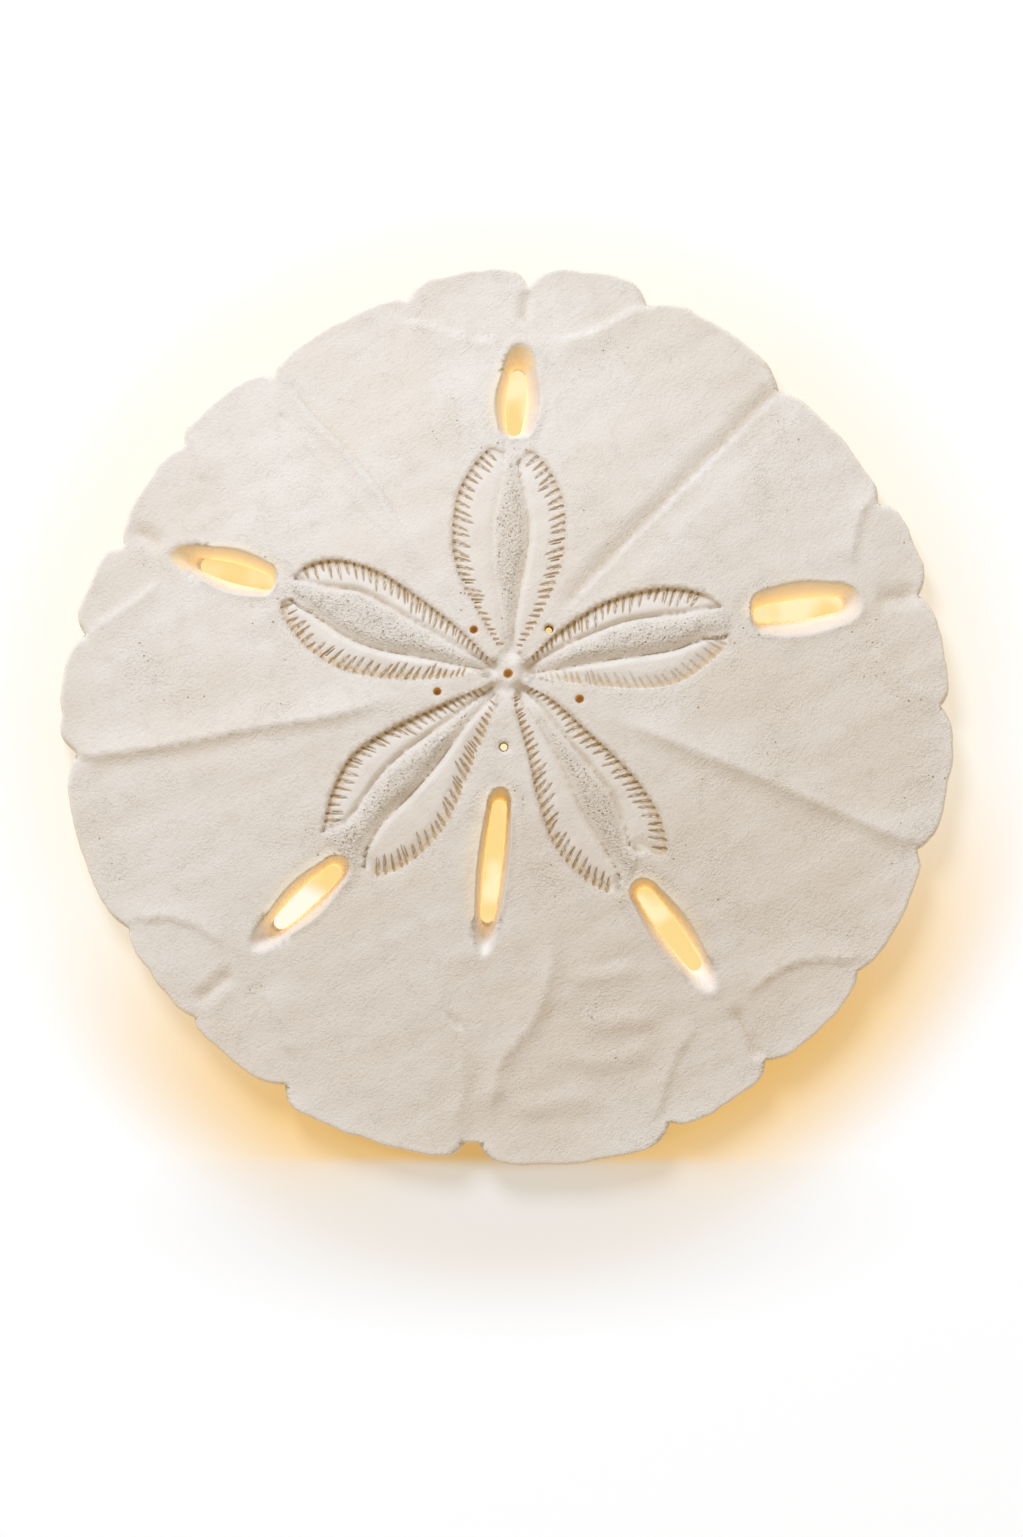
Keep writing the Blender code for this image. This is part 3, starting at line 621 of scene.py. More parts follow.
FOLDS = {
    "upper_left_ridge": Fold(
        FoldKind.RIDGE,
        ((-30.4, 47.6), (-26.3, 40.4), (-21.5, 35.4), (-17.4, 30.6), (-15.0, 26.6),
         (-11.7, 21.7), (-8.6, 17.6)),
        0.55, 0.9, 3.4),
    "upper_left_crease": Fold(
        FoldKind.VALLEY,
        ((-28.9, 44.6), (-26.0, 40.8), (-21.2, 35.8), (-17.1, 30.9), (-14.7, 26.8),
         (-11.5, 22.0)),
        -0.32, 0.8, 0.4),
    "upper_left_line": Fold(
        FoldKind.RIDGE, ((-27.4, 37.6), (-25.9, 35.7), (-21.5, 30.6), (-13.7, 22.3)),
        0.16, 0.7, 0.7),
    "upper_left_nick": Fold(
        FoldKind.VALLEY, ((-30.4, 40.6), (-29.8, 40.2), (-29.3, 39.4)), -0.3, 0.2, 0.2, 0.5),
    "rear_crack": Fold(
        FoldKind.VALLEY, ((-7.7, -40.4), (-7.1, -41.1), (-6.4, -41.8), (-5.9, -42.6)),
        -0.35, 0.2, 0.2, 0.5),
    "upper_right_valley": Fold(
        FoldKind.VALLEY,
        ((35.6, 43.2), (28.4, 35.8), (17.3, 24.6), (12.6, 19.7), (9.6, 16.5), (6.6, 13.0)),
        -0.78, 4.5, 2.3, 0.12),
    "upper_right_crest": Fold(
        FoldKind.RIDGE,
        ((36.0, 42.6), (28.9, 35.4), (17.8, 24.2), (13.1, 19.3), (10.1, 16.1), (7.1, 12.6)),
        0.42, 3.0, 0.5, 0.12),
    "left_ridge": Fold(
        FoldKind.RIDGE,
        ((-55.5, -5.2), (-47.1, -4.1), (-33.9, -1.6), (-22.1, 0.4), (-13.4, 3.1)),
        0.8, 6.0, 2.2),
    "right_ridge": Fold(
        FoldKind.RIDGE,
        ((53.9, -16.7), (44.8, -12.8), (30.8, -6.8), (19.6, -2.3), (11.7, 0.5)),
        0.8, 2.6, 6.0),
    "rear_left_edge": Fold(
        FoldKind.STEP,
        ((-6.6, -53.5), (-5.6, -49.8), (-6.2, -44.6), (-8.2, -40.9), (-9.0, -37.7),
         (-9.6, -32.0)),
        0.35, 3.0, 2.6),
    "rear_right_edge": Fold(
        FoldKind.STEP,
        ((-1.4, -50.5), (-0.9, -47.1), (2.0, -43.4), (4.0, -40.6), (5.2, -37.3),
         (6.0, -33.6), (6.2, -29.0)),
        0.6, 5.5, 2.4),
    "rear_groove": Fold(
        FoldKind.VALLEY, ((-4.7, -57.0), (-4.5, -52.0), (-3.6, -45.0)), -0.3, 3.0, 3.0),
    "top_left_step": Fold(
        FoldKind.STEP, ((-11.9, 53.2), (-8.6, 52.0), (-4.1, 50.6), (-0.1, 51.0)),
        0.45, 1.1, 5.0),
    "top_cleft": Fold(FoldKind.VALLEY, ((2.7, 56.6), (2.4, 52.8)), -0.7, 1.1, 1.1),
    "top_right_step": Fold(
        FoldKind.STEP, ((17.6, 54.9), (14.3, 53.1), (10.7, 51.3), (5.7, 50.4)),
        0.52, 5.0, 1.3),
    "right_upper_step": Fold(
        FoldKind.STEP, ((49.4, 29.2), (48.1, 27.8), (47.4, 25.1), (46.6, 20.1)),
        0.45, 1.0, 4.0),
    "right_cleft": Fold(FoldKind.VALLEY, ((54.3, 16.3), (49.8, 15.7)), -0.7, 2.2, 2.2),
    "right_lower_step": Fold(
        FoldKind.STEP, ((56.6, 2.9), (54.8, 4.1), (51.7, 6.8), (49.3, 9.6)), 0.38, 4.0, 1.1),
    "lower_right_upper_step": Fold(
        FoldKind.STEP, ((46.6, -32.9), (41.9, -32.7), (37.1, -34.2), (31.7, -38.1)),
        0.45, 1.1, 4.0),
    "lower_right_cleft": Fold(FoldKind.VALLEY, ((33.9, -45.4), (30.5, -39.2)), -0.6, 1.6, 1.6),
    "lower_right_lower_step": Fold(
        FoldKind.STEP, ((20.7, -53.2), (21.7, -49.5), (23.5, -45.0), (26.2, -41.6)),
        0.34, 4.0, 0.8),
    "lower_left_upper_step": Fold(
        FoldKind.STEP, ((-48.6, -27.4), (-46.0, -27.1), (-42.0, -28.2), (-37.3, -31.6)),
        0.45, 4.0, 1.1),
    "lower_left_cleft": Fold(
        FoldKind.VALLEY, ((-41.0, -38.0), (-36.9, -34.4)), -0.6, 1.6, 1.6),
    "lower_left_lower_step": Fold(
        FoldKind.STEP, ((-29.7, -44.4), (-31.6, -39.2), (-33.2, -36.6)), 0.38, 1.1, 4.0),
    "left_upper_step": Fold(
        FoldKind.STEP, ((-41.9, 35.9), (-41.2, 33.9), (-41.2, 31.6)), 0.38, 4.0, 1.0),
    "left_cleft": Fold(FoldKind.VALLEY, ((-49.4, 24.7), (-46.3, 23.0)), -0.7, 2.0, 2.0),
    "left_lower_step": Fold(
        FoldKind.STEP, ((-54.6, 12.6), (-52.1, 14.2), (-48.7, 16.5), (-46.4, 18.8)),
        0.45, 1.1, 4.0),
    "upper_ripple": Fold(
        FoldKind.RIPPLE, ((7.8, -35.5), (12.7, -35.0), (18.4, -33.6)), 0.32, 2.0, 2.0),
    "middle_ripple": Fold(
        FoldKind.RIPPLE, ((9.2, -41.6), (15.4, -41.3), (21.2, -40.6)), 0.32, 2.2, 2.2),
    "lower_ripple": Fold(
        FoldKind.RIPPLE, ((7.8, -46.8), (14.0, -46.4), (20.4, -45.0)), 0.3, 2.4, 2.4),
    "lowest_ripple": Fold(
        FoldKind.RIPPLE, ((-0.5, -53.0), (6.5, -52.6), (13.5, -51.4)), 0.3, 2.6, 2.6),
}


@dataclass
class PlateRelief:
    """The heights of the plate's upper surface and underside."""

    outline: Outline
    hub: tuple[float, float] = (0.3, 5.6)
    dome_radius: float = 59.5
    apex_height: float = 13.5
    plateau_height: float = 4.8
    edge_height: float = 2.1
    top_round: float = 0.42
    under_round: float = 2.0
    rim_lip: float = 0.14
    recess_wall: float = 0.4
    recess_floor: float = 2.4
    band_recovery: float = 0.6
    valley_depth: float = 0.75
    valley_width: float = 1.9
    valley_bank: float = 0.9
    valley_start: float = 0.9
    lens_height: float = 0.35
    lens_slope: float = 1.6
    swell_height: float = 0.17
    swell_axes: tuple[tuple[float, float], ...] = ((0.3, 0.13), (-0.4, 0.92))
    knead_height: float = 0.035
    slot_flare_under: float = 1.0
    pore_flare: float = 0.3
    slot_power: float = 0.85
    dome_power: float = 1.5
    dome_rounds: int = 8
    petal_reach: float = 4.0
    least_room: float = 0.35
    tip_share: float = 0.25
    hub_share: float = 0.14
    swell_size: float = 5.0
    knead_size: float = 2.6
    lip_level: float = 1.1
    lip_width: float = 0.35
    pore_rim_start: float = 0.4
    valley_power: float = 1.6

    def dome(self, points: np.ndarray) -> np.ndarray:
        """Return the height of the plain dome at plan points.

        Args:
            points: Plan points, one to a row.

        Returns:
            The height at each point.
        """
        spread = np.full(len(points), 0.5)
        for _ in range(self.dome_rounds):
            centred = points - np.array(self.hub) * (1 - spread[:, None])
            spread = np.linalg.norm(centred, axis=1) / self.dome_radius
        rise = (1 - np.clip(spread, 0.0, 1.0) ** 2) ** self.dome_power
        return self.plateau_height + (self.apex_height - self.plateau_height) * rise

    def petal(self, points: np.ndarray, petal: Petal) -> np.ndarray:
        """Return the height that a petal adds.

        Args:
            points: Plan points, one to a row.
            petal: The petal.

        Returns:
            Its sunk borders, valleys and raised lens.
        """
        height = np.zeros(len(points))
        from_edge = np.full(len(points), FAR)
        for side in petal.sides():
            inside = lies_inside(points, side.leaf())
            border = Line(side.outer).near(points, self.petal_reach).distance
            valley = Line(side.inner).near(points, self.petal_reach)
            room = (border + valley.distance) / self.recess_floor
            room = np.clip(room, self.least_room, 1.0)
            wall = ease(border / self.recess_wall)
            floor = self.band_recovery * ease((border - self.recess_wall) / self.recess_floor)
            height += np.where(inside, -petal.depth * room * (wall - floor), 0.0)
            width = np.where(inside, self.valley_bank, self.valley_width)
            groove = np.clip(1 - valley.distance / width, 0.0, 1.0) ** self.valley_power
            tip_fade = np.where(inside, wall, ease((1 - valley.along) / self.tip_share))
            start = 1 + self.valley_start * ease(1 - valley.along / self.hub_share)
            height -= self.valley_depth * side.valley_share * groove * tip_fade * start
            from_edge = np.minimum(from_edge, valley.distance)
        lens = lies_inside(points, petal.lens())
        return height + np.where(lens, self.lens_height * ease(from_edge / self.lens_slope), 0.0)

    def top(self, points: np.ndarray) -> np.ndarray:
        """Return the height of the upper surface at plan points.

        Args:
            points: Plan points, one to a row.

        Returns:
            The height at each point.
        """
        height = self.dome(points)
        for fold in FOLDS.values():
            height += fold.relief(points)
        turned = points @ np.array(self.swell_axes).T
        height += self.swell_height * wander(turned, self.swell_size, 2, 4.7)
        height += self.knead_height * wander(points, self.knead_size, 2, 9.1)
        for petal in PETALS.values():
            height += self.petal(points, petal)
        rise = round_over(self.outline.line.near(points).distance / self.top_round)
        for slot in SLOTS.values():
            level = slot.level(points)
            lip = 1 - np.abs(level - self.lip_level) / self.lip_width
            height += self.rim_lip * np.clip(lip, 0.0, 1.0)
            rise = rise * held_level(level) ** self.slot_power
        for pore in open_pores():
            beyond = pore.gap(points) - pore.bore()
            flare = ease(self.pore_rim_start + beyond / self.pore_flare)
            rise = np.where(beyond < 0, 0.0, rise * flare)
        return self.edge_height + (height - self.edge_height) * rise

    def under(self, points: np.ndarray) -> np.ndarray:
        """Return the height of the underside at plan points.

        Args:
            points: Plan points, one to a row.

        Returns:
            The height at each point.
        """
        inward = self.outline.line.near(points).distance / self.under_round
        for slot in SLOTS.values():
            inward = np.minimum(inward, slot.flared(self.slot_flare_under).level(points))
        for pore in open_pores():
            inward = np.minimum(inward, (pore.gap(points) - pore.bore()) / self.pore_flare)
        return self.edge_height * (1 - round_over(inward))


@dataclass
class Plan:
    """Plan points with the lines that stay edges, how far points are sunk and how stained and
    darkened by painted shade they are.
    """

    points: list[tuple[float, float]] = field(default_factory=list)
    sinks: list[float] = field(default_factory=list)
    stains_and_shade: list[float] = field(default_factory=list)
    edges: list[tuple[int, int]] = field(default_factory=list)

    def add(self, points: np.ndarray, sink: Union[float, Sequence[float]] = 0.0,
            stain_and_shade: float = 0.0, is_line: bool = False, is_closed: bool = False) -> None:
        """Add points to the plan.

        Args:
            points: The points, in order.
            sink: How far they lie below the surface, one for all or one each.
            stain_and_shade: How stained and darkened by painted shade they are, 0 to 1.
            is_line: Whether each is joined to the next.
            is_closed: Whether the last is joined to the first.
        """
        first, count = len(self.points), len(points)
        self.points.extend(map(tuple, np.asarray(points).tolist()))
        self.sinks.extend(np.broadcast_to(sink, count).tolist())
        self.stains_and_shade.extend([stain_and_shade] * count)
        if is_line:
            self.edges.extend((first + i, first + i + 1) for i in range(count - 1))
        if is_closed:
            self.edges.append((first + count - 1, first))

    def scatter(self, spacing: float, is_wanted: Callable[[np.ndarray], np.ndarray],
                rng: np.random.Generator, clearance: float = 0.6) -> None:
        """Fill an area with points, clear of those already there.

        Args:
            spacing: How far apart the points are.
            is_wanted: Tells which points are in the area.
            rng: The source of their small shifts.
            clearance: The least gap as a share of the spacing.
        """
        rise = spacing * ROW_SHARE
        rows, columns = int(PLAN_REACH / rise), int(PLAN_REACH / spacing) + 1
        row, column = np.mgrid[-rows:rows + 1, -columns:columns + 1]
        grid = np.stack([(column + 0.5 * (row % 2)) * spacing, row * spacing * ROW_SHARE], axis=-1)
        grid = grid.reshape(-1, 2)
        grid = grid + rng.uniform(-SHIFT_SHARE, SHIFT_SHARE, grid.shape) * spacing
        grid = grid[is_wanted(grid)]
        tree = kdtree.KDTree(len(self.points))
        for index, (x, y) in enumerate(self.points):
            tree.insert((x, y, 0.0), index)
        tree.balance()
        least = clearance * spacing
        clear = [tree.find((x, y, 0.0))[2] > least for x, y in grid.tolist()]
        self.add(grid[np.array(clear, dtype=bool)])

    def triangulate(self, rings: Sequence[np.ndarray]) -> tuple[np.ndarray, ...]:
        """Join the points in triangles inside the first ring and outside the others.

        Args:
            rings: The outline, then each hole.

        Returns:
            Plan points, triangles, sinks, and stains with painted shade.
        """
        found = delaunay_2d_cdt([Vector(point) for point in self.points], self.edges, [], 0, 1e-5)
        plan = np.array([tuple(point) for point in found[0]])
        sinks = np.array([max((self.sinks[i] for i in ids), default=0.0) for ids in found[3]])
        stains_and_shade = np.array([max((self.stains_and_shade[i] for i in ids), default=0.0) for ids in found[3]])
        faces = np.array(found[2])
        middles = plan[faces].mean(axis=1)
        kept = lies_inside(middles, rings[0])
        for ring in rings[1:]:
            kept &= ~lies_inside(middles, ring)
        return plan, faces[kept], sinks, stains_and_shade


@dataclass
class Strokes:
    """The short strokes incised along a petal's outer borders."""

    hub_spacing: float = 0.82
    tip_spacing: float = 1.15
    hub_length: float = 0.9
    tip_length: float = 2.45
    tip_lean: float = math.radians(50)
    start: float = 0.14
    half_width: float = 0.23
    lip: float = 0.07
    depth: float = 0.27
    roughness: float = 0.15
    first_place: float = 1.4
    last_gap: float = 1.4
    growth_share: float = 0.4
    hub_width: float = 0.7
    width_gain: float = 0.3
    hub_depth: float = 0.75
    depth_gain: float = 0.25
    lean_power: float = 1.5
    lean_spread: float = 0.35
    length_spread: float = 0.9
    width_spread: float = 0.8
    spacing_spread: float = 0.12
    least_length: float = 0.6
    twins: float = 0.07
    twin_gap: Span = (0.16, 0.22)
    twin_start: float = 0.25
    twin_length: float = 0.6
    twin_width: float = 0.5
    twinned_width: float = 0.7
    stations: tuple[Span, ...] = ((0.04, 0.95), (0.22, 1.12), (0.58, 0.88), (0.88, 0.5))
    bottom: tuple[Span, ...] = ((0.12, 1.0), (0.45, 0.8), (0.8, 0.5))
    rim_stain: float = 0.12
    wall_sink: float = 0.3
    wall_stain: float = 0.75

    def cut(self, plan: Plan, side: PetalSide, axis: np.ndarray,
            rng: np.random.Generator) -> int:
        """Add a side's strokes to the plan.

        Args:
            plan: The plan of the upper surface.
            side: The petal's side.
            axis: The petal's heading from the hub.
            rng: The source of their unevenness.

        Returns:
            How many were cut.
        """
        border, leaf = Line(side.outer, 0.25), side.leaf()
        across = np.array((-axis[1], axis[0]))
        if np.dot(across, leaf.mean(axis=0) - border.at(border.walked[-1] / 2)) < 0:
            across = -across
        place, count = self.hub_spacing * self.first_place, 0
        while place < border.walked[-1] - self.last_gap:
            t = place / border.walked[-1]
            growth = float(ease(np.array(t / self.growth_share)))
            uneven = rng.normal(0.0, self.roughness, 4)
            lean = self.tip_lean * t ** self.lean_power + self.lean_spread * uneven[0]
            heading = across * math.cos(lean) - axis * math.sin(lean)
            length = self.hub_length + (self.tip_length - self.hub_length) * growth
            length *= 1 + self.length_spread * uneven[1]
            wide = self.half_width * (self.hub_width + self.width_gain * growth)
            wide *= 1 + self.width_spread * uneven[2]
            deep = self.depth * (self.hub_depth + self.depth_gain * growth)
            deep = deep * (1 + uneven[3]) * side.stroke_share
            start = border.at(place) + heading * self.start
            if rng.uniform() < self.twins:
                shift = axis * rng.uniform(*self.twin_gap)
                twin = start + heading * self.twin_start * length - shift
                count += self.stroke(plan, leaf, twin, heading, self.twin_length * length,
                                     self.twin_width * wide, deep, side.stroke_share)
                start, wide = start + shift, self.twinned_width * wide
            count += self.stroke(plan, leaf, start, heading, max(self.least_length, length),
                                 wide, deep, side.stroke_share)
            spacing = self.hub_spacing + (self.tip_spacing - self.hub_spacing) * growth
            place += spacing * (1 + self.spacing_spread * rng.uniform(-1, 1))
        return count

    def stroke(self, plan: Plan, leaf: np.ndarray, start: np.ndarray, heading: np.ndarray,
               length: float, half_width: float, depth: float, stain_and_shade: float) -> int:
        """Add one tapering stroke if it fits in its leaf.

        Args:
            plan: The plan of the upper surface.
            leaf: The ring that it has to fit in.
            start: Its outer end.
            heading: Its unit heading.
            length: Its length.
            half_width: Half of its width at the outer end.
            depth: Its greatest depth.
            stain_and_shade: How stained and darkened by painted shade its bottom is, 0 to 1.

        Returns:
            1 if it was cut, 0 if not.
        """
        across = np.array((-heading[1], heading[0]))
        rings = []
        for lip in (self.lip, 0.0):
            sides = [[start + heading * (length * along) + across * turn * (half_width * wide + lip)
                      for along, wide in self.stations] for turn in (1, -1)]
            tip = start + heading * (length + lip)
            rings.append(np.array([start - heading * lip, *sides[0], tip, *sides[1][::-1]]))
        if not lies_inside(rings[1], leaf).all():
            return 0
        plan.add(rings[0], stain_and_shade=self.rim_stain * stain_and_shade, is_line=True, is_closed=True)
        plan.add(rings[1], self.wall_sink * depth, self.wall_stain * stain_and_shade, is_line=True,
                 is_closed=True)
        bottom = np.array([start + heading * length * along for along, _ in self.bottom])
        plan.add(bottom, [depth * share for _, share in self.bottom], stain_and_shade, is_line=True)
        return 1


class Shade:
    """A socket of a node graph that adds Math nodes when used in an expression."""

    def __init__(self, graph: "Graph", socket: bpy.types.NodeSocket) -> None:
        """Keep the graph and the output socket."""
        self.graph = graph
        self.socket = socket

    def _math(self, operation: str, first: Any, second: Any = 0.0) -> "Shade":
        """Add one Math node of two inputs."""
        return self.graph.node("ShaderNodeMath", {"operation": operation}, {0: first, 1: second})

    def __add__(self, other: Any) -> "Shade":
        """Return the sum."""
        return self._math("ADD", self, other)

    def __radd__(self, other: Any) -> "Shade":
        """Return the sum."""
        return self._math("ADD", other, self)

    def __sub__(self, other: Any) -> "Shade":
        """Return the difference."""
        return self._math("SUBTRACT", self, other)

    def __rsub__(self, other: Any) -> "Shade":
        """Return the difference from a value."""
        return self._math("SUBTRACT", other, self)

    def __mul__(self, other: Any) -> "Shade":
        """Return the product."""
        return self._math("MULTIPLY", self, other)

    def __rmul__(self, other: Any) -> "Shade":
        """Return the product."""
        return self._math("MULTIPLY", other, self)

    def __lt__(self, other: Any) -> "Shade":
        """Return 1 where this is less."""
        return self._math("LESS_THAN", self, other)

    def __abs__(self) -> "Shade":
        """Return the size without its sign."""
        return self._math("ABSOLUTE", self)

    def ramp(self, low: float, high: float) -> "Shade":
        """Rise smoothly from 0 at low to 1 at high."""
        return self.graph.node(
            "ShaderNodeMapRange", {"interpolation_type": "SMOOTHSTEP"},
            {"Value": self, "From Min": low, "From Max": high})


class Graph:
    """The node graph of one material."""

    def __init__(self, name: str) -> None:
        """Start a material with a Principled shader.

        Args:
            name: The material's name.
        """
        self.material = bpy.data.materials.new(name)
        self.material.use_nodes = True
        self.tree = self.material.node_tree
        self.shader = self.tree.nodes["Principled BSDF"]

    def node(self, kind: str, settings: Optional[dict[str, Any]] = None,
             inputs: Optional[dict[Any, Any]] = None, output: Any = 0) -> Shade:
        """Add a node.

        Args:
            kind: The node's type.
            settings: Its settings, made first.
            inputs: The value or Shade of each socket, by name or number.
            output: The name or number of the output wanted.

        Returns:
            That output.
        """
        made = self.tree.nodes.new(kind)
        for name, value in (settings or {}).items():
            setattr(made, name, value)
        for name, value in (inputs or {}).items():
            if isinstance(value, Shade):
                self.tree.links.new(value.socket, made.inputs[name])
            else:
                made.inputs[name].default_value = value
        return Shade(self, made.outputs[output])

    def place(self) -> Shade:
        """Return the place on the object in millimetres."""
        place = self.node("ShaderNodeTexCoord", output="Object")
        factor = (1 / MM, 1 / MM, 1 / MM)
        return self.node("ShaderNodeVectorMath", {"operation": "MULTIPLY"}, {0: place, 1: factor})

    def layer(self, name: str) -> Shade:
        """Return a value that the mesh carries at its points."""
        return self.node("ShaderNodeAttribute", {"attribute_name": name}, output="Fac")

    def noise(self, place: Shade, size: float, detail: float = 2.0,
              roughness: float = 0.5, distortion: float = 0.0) -> Shade:
        """Return noise of 0 to 1.

        Args:
            place: Where it is read.
            size: The width of its largest patches.
            detail: How many finer layers it has.
            roughness: How strong the finer layers are.
            distortion: How far it is twisted.

        Returns:
            The noise.
        """
        return self.node("ShaderNodeTexNoise", {"noise_dimensions": "3D"}, {
            "Vector": place, "Scale": 1 / size, "Detail": detail, "Roughness": roughness,
            "Distortion": distortion})

    def mix(self, factor: Shade, first: Union[Shade, Colour],
            second: Union[Shade, Colour]) -> Shade:
        """Mix two colours.

        Args:
            factor: 0 for the first, 1 for the second.
            first: A colour.
            second: A colour.

        Returns:
            The mixed colour.
        """
        parts = {0: factor, 6: first, 7: second}
        held = {name: (*value, 1.0) if isinstance(value, tuple) else value
                for name, value in parts.items()}
        return self.node("ShaderNodeMix", {"data_type": "RGBA"}, held, 2)

    def feed(self, name: str, value: Any) -> None:
        """Give a socket of the Principled shader a value or a link."""
        if isinstance(value, Shade):
            self.tree.links.new(value.socket, self.shader.inputs[name])
        elif isinstance(value, tuple):
            self.shader.inputs[name].default_value = (*value, 1.0)
        else:
            self.shader.inputs[name].default_value = value


@dataclass(frozen=True)
class CalciteFinish:
    """The bare, chalky calcite of the test, stained in its strokes, with warm pore walls, painted
    shade in its hollows, painted highlights on crests and the outer edge and a painted warm glow at
    the slots.
    """

    pale: Colour = (0.845, 0.815, 0.77)
    cream: Colour = (0.82, 0.77, 0.70)
    grey: Colour = (0.77, 0.73, 0.67)
    beige: Colour = (0.72, 0.61, 0.46)
    crevice_shade: Colour = (0.72, 0.56, 0.35)
    stain_and_shade: Colour = (0.47, 0.315, 0.15)
    pit: Colour = (0.50, 0.35, 0.18)
    pore: Colour = (0.86, 0.62, 0.32)
    glow: Colour = (1.0, 0.86, 0.60)
    rim: Colour = (0.97, 0.90, 0.77)
    crest_highlight: Colour = (0.90, 0.88, 0.84)
    mottle_size: float = 16.0
    grain_size: float = 0.36
    pit_spacing: float = 0.55
    patch_size: float = 3.2
    mark_size: float = 1.5
    mark_spread: float = 2.1
    brush_turn: float = 0.7
    brush_size: tuple[float, float, float] = (1.8, 0.55, 1.0)
    roughness: float = 0.92
    specular: float = 0.3
    bump: float = 0.85

    def material(self) -> bpy.types.Material:
        """Make the finish.

        Returns:
            The material.
        """
        graph = Graph("calcite")
        place = graph.place()
        stain_and_shade, grit, hollow = graph.layer("stain_and_shade"), graph.layer("grit"), graph.layer("hollow")
        edge, glow, cavity = graph.layer("edge"), graph.layer("glow"), graph.layer("cavity")
        brush = graph.node("ShaderNodeMapping", {"vector_type": "TEXTURE"}, {
            "Vector": place, "Rotation": (0.0, 0.0, self.brush_turn), "Scale": self.brush_size})
        fibres = graph.noise(brush, 1.0, 4.0, 0.62, 0.9)
        mottle = graph.noise(place, self.mottle_size, 5.0, 0.6)
        patch = graph.noise(place, self.patch_size, 3.0, 0.55)
        grain = graph.noise(place, self.grain_size, 3.0, 0.6)
        pits, marks = self.pits(graph, place, grit), self.marks(graph, place, grit)
        colour = graph.mix(mottle.ramp(0.38, 0.66), self.pale, self.cream)
        patchy_stain_and_shade = stain_and_shade * (0.55 + 0.6 * patch)
        coats = (
            (patch.ramp(0.5, 0.76) * 0.55, self.grey),
            (grit * 0.12, self.beige),
            # painted highlight on crests, from the cavity layer
            ((cavity * -1.0).ramp(0.0, 1.0) * 0.5, self.crest_highlight),
            # painted warm shade in hollows, from the cavity layer
            (cavity.ramp(0.0, 0.9) * 0.7, self.crevice_shade),
            (grain.ramp(0.45, 0.75) * (0.03 + grit * 0.42), self.stain_and_shade),
            (marks * 0.1, self.stain_and_shade),
            # painted highlight along the outer edge, lifting the shade of its rounding
            (edge * 0.7, self.rim),
            # painted warm glow on the slots' rims and walls, on their side towards light_from
            (glow, self.glow),
            (pits * 0.75, self.pit),
            # patchy stains with painted shade in hollows
            (patchy_stain_and_shade.ramp(0.0, 1.0), self.stain_and_shade),
            (hollow, self.pore))
        for share, coat in coats:
            colour = graph.mix(share, colour, coat)
        graph.feed("Base Color", colour)
        graph.feed("Roughness", self.roughness - 0.14 * grain)
        graph.feed("Specular IOR Level", self.specular)
        height = grain * (-0.05 - grit * 0.4) + patch * 0.1 - pits * 0.14 - marks * 0.08
        height = height + fibres * 0.09
        graph.feed("Normal", graph.node("ShaderNodeBump", {}, {
            "Strength": self.bump, "Distance": MM, "Height": height}, "Normal"))
        return graph.material

    def pits(self, graph: Graph, place: Shade, grit: Shade) -> Shade:
        """Return the mask of the small scattered pits.

        Args:
            graph: The material's graph.
            place: Where it is read.
            grit: How gritty the surface is.

        Returns:
            1 in a pit.
        """
        scale = {"Vector": place, "Scale": 1 / self.pit_spacing, "Randomness": 1.0}
        gap = graph.node("ShaderNodeTexVoronoi", {"feature": "F1"}, scale, "Distance")
        cell = graph.node("ShaderNodeTexVoronoi", {"feature": "F1"}, scale, "Color")
        pick = graph.node("ShaderNodeSeparateColor", {}, {0: cell}, 0)
        is_pitted = pick < grit * grit * 1.05 - 0.055
        size = graph.node("ShaderNodeSeparateColor", {}, {0: cell}, 1)
        return (1 - (gap - size * 0.14).ramp(0.05, 0.2)) * is_pitted

    def marks(self, graph: Graph, place: Shade, grit: Shade) -> Shade:
        """Return the mask of the fine curved scratch marks.

        Args:
            graph: The material's graph.
            place: Where it is read.
            grit: How gritty the surface is.

        Returns:
            1 in a mark.
        """
        waves = graph.noise(place, self.mark_size, 2.0, 0.5, 1.4)
        where = graph.noise(place, self.mark_spread, 2.0, 0.5)
        thin = 1 - abs(waves - 0.5).ramp(0.006, 0.05)
        return thin * where.ramp(0.48, 0.64) * (0.2 + grit)


